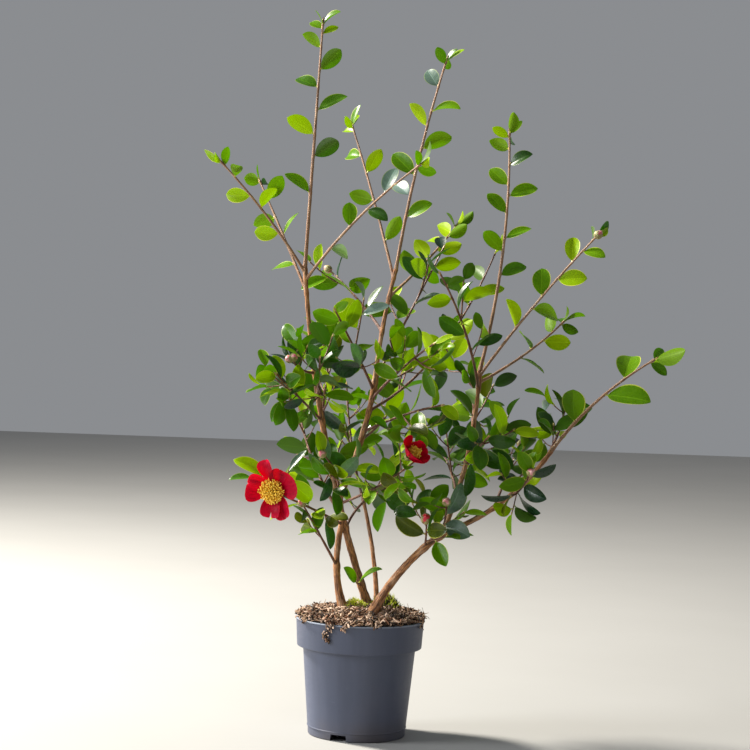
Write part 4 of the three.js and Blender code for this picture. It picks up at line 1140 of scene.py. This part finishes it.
# Cutters for the notches in the foot, which narrow upwards, and for the drain holes
def pot_cutters():
    shape = bmesh.new()
    middle = FOOT["radius"] - FOOT["ring_width"] / 2
    for i in range(NOTCH["count"]):
        turn = math.radians(FRONT - NOTCH["turn"] + 360 * i / NOTCH["count"])
        place = (Matrix.Rotation(turn, 4, "Z") @ Matrix.Translation((middle * MM, 0, 0))
            @ Matrix.Diagonal((NOTCH["depth"] * MM, NOTCH["width"] * MM, 2 * NOTCH["height"] * MM, 1)))
        corners = bmesh.ops.create_cube(shape, size=1)["verts"]
        for corner in corners:
            if corner.co.z > 0:
                corner.co.y *= NOTCH["taper"]
        bmesh.ops.transform(shape, matrix=place, verts=corners)
    for i in range(DRAIN["count"]):
        turn = CIRCLE * (i + 0.5) / DRAIN["count"]
        height = FOOT["channel_height"] + WALL
        place = Matrix.Rotation(turn, 4, "Z") @ Matrix.Translation((DRAIN["ring"] * MM, 0, height * MM))
        bmesh.ops.create_cone(shape, cap_ends=True, segments=DRAIN["sides"], radius1=DRAIN["radius"] * MM,
            radius2=DRAIN["radius"] * MM, depth=DRAIN["depth"] * MM, matrix=place)
    return mesh_of(shape, "cutters")


def build_pot(finish):
    made = linked("nursery_pot", lathe_mesh("nursery_pot", pot_outline(), POT_FORM["segments"]))
    cutter = linked("cutters", pot_cutters())
    cut = made.modifiers.new("cut", "BOOLEAN")
    cut.object = cutter
    cut.operation = "DIFFERENCE"
    cut.solver = "EXACT"
    whole = bpy.data.meshes.new_from_object(made.evaluated_get(bpy.context.evaluated_depsgraph_get()))
    made.modifiers.clear()
    made.data = whole
    bpy.data.objects.remove(cutter)
    whole.polygons.foreach_set("use_smooth", [True] * len(whole.polygons))
    whole.set_sharp_from_angle(angle=math.radians(POT_FORM["sharp"]))
    whole.materials.clear()
    whole.materials.append(finish)
    dressed(made, ["pot"])


# The compost: a crumbly dome, and on it chips of bark, curled fibres and moss
def compost_height(x, y):
    share = math.hypot(x, y) / RIM_RADIUS
    height = POT_HEIGHT + COMPOST_DOME * (1 - share * share)
    for moss in MOSS:
        away = math.hypot(x - moss["x"], y - moss["y"]) / moss["radius"]
        height += moss["height"] * math.exp(-away * away * MOUND_FALL)
    return height


def crumbs(x, y, layer):
    height, width, place = layer
    return height * noise.noise((x / width, y / width, place))


def build_compost_top(finish):
    radius = RIM_RADIUS - LIP["overhang"] - WALL - CRUMB["gap"]
    rings, segments = CRUMB["rings"], CRUMB["segments"]
    points, marks = [], []
    for i in range(rings + 2):
        away = radius * max(0, 1 - i / rings)
        for k in range(segments):
            turn = CIRCLE * k / segments
            x, y = away * math.cos(turn), away * math.sin(turn)
            rough = crumbs(x, y, CRUMB["coarse"]) + crumbs(x, y, CRUMB["fine"])
            top = compost_height(x, y) + CRUMB["lift"] + rough
            points.append((x, y, top if i else POT_HEIGHT - CRUMB["depth"]))
            marks.append(rough)
    piece = Piece("compost_top", finish)
    piece.add(points, tube_faces(segments, rings + 1), points, marks)
    piece.build("compost", sharp=180)


def chip_place(rng, reach):
    turn = rng.uniform(0, CIRCLE)
    away = reach * math.sqrt(rng.uniform())
    x, y = away * math.cos(turn), away * math.sin(turn)
    return x, y, compost_height(x, y)


# A splinter of bark, bent and flattened, whose ends taper or break off square
def add_chip(piece, middle, heading, face, length, given, rng):
    width, thickness = rng.uniform(*given["width"]), rng.uniform(*given["thickness"])
    look = int(rng.choice(len(CHIPS["shares"]), p=CHIPS["shares"]))
    side = heading.cross(face).normalized()
    bend = rng.normal(0, CHIP_FORM["bend"]) * length
    first, last = (rng.uniform(*end) for end in CHIP_FORM["ends"])
    shares = (first, 1, rng.uniform(*CHIP_FORM["middle"]), CHIP_FORM["neck"], last)
    points, grain = [], []
    for along, share in zip(CHIP_ALONG, shares):
        spine = middle + heading * (length * along) + face * (bend * (0.25 - along * along))
        spine += side * (rng.normal(0, CHIP_FORM["stray"]) * width)
        for across, up in CHIP_ROUND:
            jag = 1 + rng.normal(0, CHIP_FORM["jag"])
            points.append(spine + side * (0.5 * width * share * across * jag)
                + face * (0.5 * thickness * share * up))
            grain.append((across * width, along * length, 0))
    piece.add(points, tube_faces(len(CHIP_ROUND), len(CHIP_ALONG) - 1), grain, look=look)


# A fibre curls as it goes, and turns up where it would dip into the compost.
def add_fibre(piece, place, heading, length, radius, look, rng):
    sections, sides = FIBRE_FORM["sections"], FIBRE_FORM["sides"]
    points, grain = [], []
    turning = Vector(rng.normal(0, FIBRE_FORM["curl"], 3))
    for i in range(sections + 1):
        share = 1 - FIBRE_FORM["taper"] * i / sections
        for k in range(sides):
            points.append(place + outward(heading, CIRCLE * k / sides) * radius * share)
            grain.append((k, i, 0))
        place = place + heading * (length / sections)
        turning = turning + Vector(rng.normal(0, FIBRE_FORM["wander"], 3))
        heading = (heading + turning).normalized()
        if place.z < compost_height(place.x, place.y) + FIBRE_FORM["clear"]:
            heading = (heading + UP * FIBRE_FORM["rise"]).normalized()
    piece.add(points, tube_faces(sides, sections), grain, look=look)


# A clump slips over the rim: chips lie over one another down the wall.
def hang_chip(piece, clump, share, rng):
    form = HUNG_CHIP
    away = clump["spread"] * rng.normal(0, form["stray"]) * (1 - form["narrowing"] * share)
    turn = math.radians(clump["turn"]) + away / RIM_RADIUS + form["sway"] * math.sin(form["beat"] * share)
    down = clump["drop"] * share
    wall = RIM_RADIUS - (RIM_RADIUS - BAND["bottom_radius"]) * down / BAND["height"]
    out = level(turn)
    middle = out * (wall + rng.uniform(*form["out"])) + UP * (POT_HEIGHT + form["above"] - down)
    heading = (Vector(rng.normal(0, form["tumble"], 3)) - UP * form["fall"]).normalized()
    add_chip(piece, middle, heading, squared(out, heading), rng.uniform(*form["length"]), form, rng)


def build_compost(finishes, rng):
    chips = Piece("bark_chips", *finishes)
    fibres = Piece("bark_fibres", *finishes)
    for _ in range(CHIPS["count"]):
        x, y, z = chip_place(rng, CHIPS["reach"])
        turn = rng.uniform(0, CIRCLE)
        tilt = rng.normal(0, CHIPS["stray"])
        heading = Vector((math.cos(turn) * math.cos(tilt), math.sin(turn) * math.cos(tilt), math.sin(tilt)))
        face = (UP + Vector(rng.normal(0, CHIPS["stray"], 3))).normalized()
        length = rng.uniform(*CHIPS["length"])
        middle = Vector((x, y, z + rng.uniform(*CHIPS["pile"])))
        add_chip(chips, middle, heading, squared(face, heading), length, CHIPS, rng)
    for _ in range(FIBRES["count"]):
        x, y, z = chip_place(rng, CHIPS["reach"])
        turn = rng.uniform(0, CIRCLE)
        heading = level(turn, rng.uniform(*FIBRES["slope"])).normalized()
        start = Vector((x, y, z + rng.uniform(*FIBRES["lift"])))
        length, radius = (rng.uniform(*FIBRES[key]) for key in ("length", "radius"))
        look = int(rng.choice(len(finishes), p=FIBRES["shares"]))
        add_fibre(fibres, start, heading, length, radius, look, rng)
    for clump in HANGING:
        for k in range(clump["count"]):
            hang_chip(chips, clump, k / clump["count"], rng)
    chips.build("compost", sharp=35)
    fibres.build("compost")


# Tufts of moss: stalks that lean out from the middle of each, the taller ones bright
def build_moss(finishes, rng):
    piece = Piece("moss", *finishes)
    form = MOSS_STALK
    for moss in MOSS_TUFTS:
        shortest, longest = moss["length"]
        for _ in range(moss["count"]):
            away = moss["spread"] * math.sqrt(rng.uniform())
            turn = rng.uniform(0, CIRCLE)
            x, y = moss["x"] + away * math.cos(turn), moss["y"] + away * math.sin(turn)
            out = level(turn) * (away / moss["spread"])
            heading = (UP + out * form["lean"] + Vector(rng.normal(0, form["tumble"], 3))).normalized()
            start = Vector((x, y, compost_height(x, y) - form["sunk"]))
            bow = Vector(rng.normal(0, form["bow"], 3))
            stalk = Limb(start, start + heading * rng.uniform(shortest, longest), form["radii"], bow)
            tall = (stalk.length - shortest) / (longest - shortest)
            look = int(tall > 1 - moss["bright"] * rng.uniform(*form["chance"]))
            piece.add(*coarse_tube(stalk, form["sides"], form["sections"]), look=look)
    piece.build("compost")


class Shader:
    """A material's nodes. Patterns mix round the shader's own sockets."""

    def __init__(self, name, **sockets):
        self.material = bpy.data.materials.new(name)
        self.material.use_nodes = True
        self.tree = self.material.node_tree
        self.surface = self.tree.nodes["Principled BSDF"]
        for key, value in sockets.items():
            self.surface.inputs[key.replace("_", " ")].default_value = value

    def node(self, kind, inputs=(), **settings):
        made = self.tree.nodes.new("ShaderNode" + kind)
        for key, value in settings.items():
            setattr(made, key, value)
        for key, value in dict(inputs).items():
            if isinstance(value, bpy.types.NodeSocket):
                self.tree.links.new(value, made.inputs[key])
            else:
                made.inputs[key].default_value = value
        return made.outputs

    def attribute(self, name, output):
        return self.node("Attribute", attribute_name=name)[output]

    def place(self):
        return self.node("TexCoord")["Object"]

    def parts(self, vector):
        return self.node("SeparateXYZ", {0: vector})

    def noise(self, scale, vector=None, detail=4, roughness=0.55):
        vector = vector or self.place()
        return self.node("TexNoise",
            {"Vector": vector, "Scale": scale, "Detail": detail, "Roughness": roughness})[0]

    # Noise drawn out by a different scale each way
    def streaks(self, vector, scales, scale=1.0, detail=4, roughness=0.55):
        drawn = self.node("VectorMath", {0: vector, 1: scales}, operation="MULTIPLY")[0]
        return self.noise(scale, drawn, detail, roughness)

    def span(self, value, low, high, to_low=0.0, to_high=1.0):
        return self.node("MapRange",
            {"Value": value, "From Min": low, "From Max": high, "To Min": to_low, "To Max": to_high})[0]

    def math(self, operation, *values):
        return self.node("Math", dict(enumerate(values)), operation=operation)[0]

    def times(self, a, b):
        return self.math("MULTIPLY", a, b)

    def plus(self, a, b):
        return self.math("ADD", a, b)

    def mix(self, factor, a, b):
        a, b = ((*c, 1) if isinstance(c, tuple) else c for c in (a, b))
        return self.node("Mix", {0: factor, 6: a, 7: b}, data_type="RGBA")[2]

    def colour(self, value):
        self.tree.links.new(value, self.surface.inputs["Base Color"])

    # Roughness that wanders with a pattern by so much below and above its middle
    def rough(self, value, middle, below, above, span=MIDDLE):
        value = self.span(value, *span, middle - below, middle + above)
        self.tree.links.new(value, self.surface.inputs["Roughness"])

    def bump(self, height, strength, distance):
        made = self.node("Bump", {"Height": height, "Strength": strength, "Distance": distance})
        self.tree.links.new(made[0], self.surface.inputs["Normal"])

    def glow(self, share, colour):
        through = self.node("BsdfTranslucent", {"Color": (*colour, 1)})[0]
        mixed = self.node("MixShader", {0: share, 1: self.surface.outputs[0], 2: through})[0]
        self.tree.links.new(mixed, self.tree.nodes["Material Output"].inputs["Surface"])


def scaled(values, share):
    return tuple(share * v for v in values)


# A leaf's side: its colour wanders from leaf to leaf, and side veins slant to the margin
def leaf_finish(name, deep, light, glow, gloss, side):
    strength, roughness, share, gloss_share = side
    shader = Shader(name, Roughness=roughness, Specular_IOR_Level=gloss_share * gloss)
    across, along, tag = shader.parts(shader.attribute("grain", "Vector"))
    patch = shader.noise(scale=70, detail=3)
    wander = shader.plus(shader.times(tag, WANDER["leaf"]), shader.times(patch, WANDER["patch"]))
    base = shader.mix(shader.span(wander, *WANDER["span"]), deep, light)
    away = shader.math("ABSOLUTE", across)
    slant = shader.math("SUBTRACT", along, shader.times(away, VEINS["slant"]))
    beat = shader.math("PINGPONG", shader.times(slant, VEINS["count"]), 1.0)
    vein = shader.span(beat, 0.0, VEINS["width"], 1.0, 0.0)
    pale = tuple(min(1, VEINS["paler"] * c + VEINS["lift"]) for c in light)
    inner, outer, rib_strength = VEINS["rib"]
    rib = shader.span(away, inner, outer, rib_strength, 0.0)
    lines = shader.math("MAXIMUM", shader.times(vein, strength), rib)
    shader.colour(shader.mix(lines, base, pale))
    shader.rough(shader.noise(scale=240), roughness, below=0.05, above=0.1)
    shader.bump(shader.plus(shader.noise(scale=60, detail=1), shader.times(vein, VEINS["depth"])),
        strength=0.16, distance=0.0005)
    shader.glow(share, glow)
    return shader.material


def leaf_finishes():
    finishes = {}
    for tint, (deep, light, under, glow, edge, gloss) in LEAF_TINTS.items():
        upper = leaf_finish(f"leaf_{tint}_upper", deep, light, glow, gloss, LEAF_SIDES["upper"])
        beneath = leaf_finish(f"leaf_{tint}_under", scaled(under, UNDER_DIM), under, glow, gloss,
            LEAF_SIDES["under"])
        # The margin of each blade and its stalk share one finish; the margin's bright yellow is a painted
        # rim light
        rim = Shader(f"leaf_{tint}_edge", Roughness=0.42)
        rim.colour(rim.mix(rim.span(rim.noise(scale=50), *MIDDLE), edge, scaled(edge, EDGE_DIM)))
        rim.bump(rim.noise(scale=300), strength=0.06, distance=0.0003)
        rim.glow(share=0.25, colour=glow)
        finishes[tint] = [upper, beneath, rim.material]
    return finishes


# Bark with long fibres, pale patches of dust and painted sheen, dark in its cracks, and painted
# shade in its fissures, darker the deeper they are
def bark_finish(name):
    ridge, groove, dust_and_sheen, roughness, scale = BARKS[name]
    shader = Shader(name, Roughness=roughness)
    grain = shader.attribute("grain", "Vector")
    fibre = shader.streaks(grain, scaled(BARK_PATTERN["fibre"], scale), 1.6, detail=6, roughness=0.65)
    patch = shader.streaks(grain, BARK_PATTERN["patch"], 0.7, detail=3)
    fine = shader.streaks(grain, BARK_PATTERN["fine"], detail=3)
    mark = shader.attribute("mark", "Fac")
    base = shader.mix(shader.span(fibre, 0.36, 0.62), groove, ridge)
    crack = shader.streaks(grain, scaled(BARK_PATTERN["crack"], scale), detail=5)
    base = shader.mix(shader.span(crack, 0.38, 0.47, 0.8, 0.0), base, scaled(groove, 0.4))
    # Pale patches, partly dust and partly a painted sheen
    base = shader.mix(shader.times(shader.span(patch, 0.5, 0.72), 0.6), base, dust_and_sheen)
    # Painted shade in the fissures, darker where the mesh is cut deeper
    base = shader.mix(shader.span(mark, 0.25, 1.0, 0.0, 0.8), base, scaled(groove, 0.45))
    shader.colour(base)
    shader.rough(fine, roughness, below=0.12, above=0.1)
    shader.bump(shader.plus(shader.times(fibre, 1.8), fine), strength=0.7, distance=0.0009)
    return shader.material


def mottled(name, detail=5):
    dark, pale, scale, roughness, bump = MOTTLES[name]
    shader = Shader(name, Roughness=roughness)
    pattern = shader.noise(scale, detail=detail, roughness=0.62)
    shader.colour(shader.mix(shader.span(pattern, 0.34, 0.66), dark, pale))
    shader.rough(shader.noise(scale * 2.3), roughness, below=0.1, above=0.08)
    shader.bump(shader.noise(scale * 3, detail=3), strength=bump, distance=0.0005)
    if name in GLOWS:
        shader.glow(*GLOWS[name])
    return shader.material


# Petals: fine veins along them, a paler rim, and some petals darker than others as a painted shade dealt at
# random
def petal_finish():
    shader = Shader("petal", Roughness=0.42, Specular_IOR_Level=0.12)
    across, along, tag = shader.parts(shader.attribute("grain", "Vector"))
    streak = shader.node("CombineXYZ", {0: shader.times(across, 9), 1: shader.times(along, 1.6),
        2: shader.times(tag, 30)})[0]
    veins = shader.plus(shader.times(shader.noise(1.4, streak), 0.6),
        shader.times(shader.noise(scale=55, detail=2), 0.4))
    base = shader.mix(shader.span(veins, *MIDDLE), PETAL["deep"], PETAL["light"])
    # Painted shade: each petal takes a random share of dark crimson
    base = shader.mix(shader.span(tag, 0.0, 1.0, 0.0, 0.6), base, PETAL["dark"])
    edge = shader.math("MAXIMUM", shader.span(shader.math("ABSOLUTE", across), 0.78, 1.0),
        shader.span(along, 0.86, 1.0))
    shader.colour(shader.mix(shader.times(edge, 0.3), base, PETAL["rim"]))
    shader.rough(shader.noise(scale=300), 0.5, below=0.1, above=0.08)
    shader.bump(shader.plus(veins, shader.noise(scale=500, detail=2)), strength=0.4, distance=0.0005)
    shader.glow(share=0.36, colour=PETAL["glow"])
    return shader.material


# The pot's plastic: streaked and clouded, scuffed, soiled at the foot, with a painted highlight on its lip
def pot_finish():
    shader = Shader("pot_plastic", Roughness=0.5, Specular_IOR_Level=0.4)
    place = shader.place()
    streaks = shader.streaks(place, (34, 34, 4))
    cloud = shader.noise(scale=9, vector=place, detail=5)
    scuff = shader.streaks(place, (60, 60, 210), detail=6, roughness=0.75)
    height = shader.parts(place)[2]
    base = shader.mix(shader.span(streaks, *MIDDLE), PLASTIC["deep"], PLASTIC["light"])
    base = shader.mix(shader.times(shader.span(cloud, 0.48, 0.75), 0.4), base, PLASTIC["cloud"])
    base = shader.mix(shader.times(shader.span(scuff, 0.62, 0.78), 0.35), base, PLASTIC["scuff"])
    soil = shader.times(shader.span(height, 0.0, 0.03, 1.0, 0.0), shader.span(cloud, 0.42, 0.62))
    base = shader.mix(shader.times(soil, 0.55), base, PLASTIC["soil"])
    # A painted highlight along the top of the lip
    lip = shader.span(height, *(MM * (POT_HEIGHT - below) for below in LIP["highlight_band"]))
    base = shader.mix(shader.times(lip, 0.6), base, PLASTIC["lip"])
    shader.colour(base)
    shader.rough(shader.plus(scuff, cloud), 0.5, below=0.08, above=0.12, span=(0.7, 1.3))
    shader.bump(shader.plus(shader.noise(1500, place, detail=2), shader.times(streaks, 2)), strength=0.1,
        distance=0.0004)
    return shader.material


def add_stage():
    floor = bmesh.new()
    squares = FLOOR["squares"]
    bmesh.ops.create_grid(floor, x_segments=squares, y_segments=squares, size=FLOOR["size"])
    made = linked("floor", mesh_of(floor, "floor"))
    made.location.z = FLOOR["drop"]
    shader = Shader("studio_floor", Roughness=0.7)
    shader.colour(shader.mix(shader.noise(scale=2.5), *FLOOR["colours"]))
    made.data.materials.append(shader.material)
    world = bpy.data.worlds.new("studio")
    world.use_nodes = True
    background = world.node_tree.nodes["Background"]
    background.inputs["Color"].default_value = SKY["colour"]
    background.inputs["Strength"].default_value = SKY["strength"]
    bpy.context.scene.world = world


def add_light(given):
    light = bpy.data.lights.new(given["name"], "AREA")
    light.shape = "DISK"
    light.size = given["size"]
    light.energy = given["watts"]
    light.color = given["colour"]
    made = linked(given["name"], light)
    made.location = given["place"]
    aim = Vector(given["target"]) - Vector(given["place"])
    made.rotation_euler = aim.to_track_quat("-Z", "Y").to_euler()


def add_camera():
    camera = bpy.data.cameras.new("camera")
    camera.sensor_width = CAMERA["sensor"]
    camera.lens = CAMERA["lens"]
    camera.clip_end = CAMERA["clip_end"]
    made = linked("camera", camera)
    back = -Vector(CAMERA["forward"]).normalized()
    right = Vector(CAMERA["up"]).cross(back).normalized()
    turned = Matrix((right, back.cross(right), back)).transposed().to_4x4()
    made.matrix_world = Matrix.Translation(CAMERA["place"]) @ turned
    bpy.context.scene.camera = made


def build_plant():
    rng = np.random.default_rng(SEED)
    placed = Placed()
    limbs = build_limbs(placed)
    masses = build_masses(limbs, placed)
    build_bark(limbs, masses, bark_finish("bark"))
    build_wood(masses, bark_finish("shoot_bark"), bark_finish("twig_bark"))
    build_leaves(masses, leaf_finishes(), rng)
    bud_finishes = [mottled(name) for name in ("bud_petal", "bud_scale", "shoot_bud", "red_bud")]
    build_buds(masses, bud_finishes, rng)
    stamen_finishes = [mottled("filament"), mottled("anther")]
    build_blooms(masses, petal_finish(), stamen_finishes, bud_finishes, rng)


def build_ground():
    rng = np.random.default_rng(SEED + 1)
    build_pot(pot_finish())
    # Dark compost under the chips, darkened further as painted shade in the gaps
    soil = mottled("compost_dark", detail=8)
    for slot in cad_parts["compost"].material_slots:
        slot.material = soil
    build_compost_top(soil)
    build_compost([mottled("chip_" + name) for name in ("straw", "tan", "brown", "red", "dark")], rng)
    build_moss([mottled("moss_dark"), mottled("moss_bright")], rng)


def finish_scene():
    add_stage()
    add_camera()
    for light in LIGHTS:
        add_light(light)
    bpy.context.scene.view_settings.view_transform = "Standard"


build_plant()
build_ground()
finish_scene()
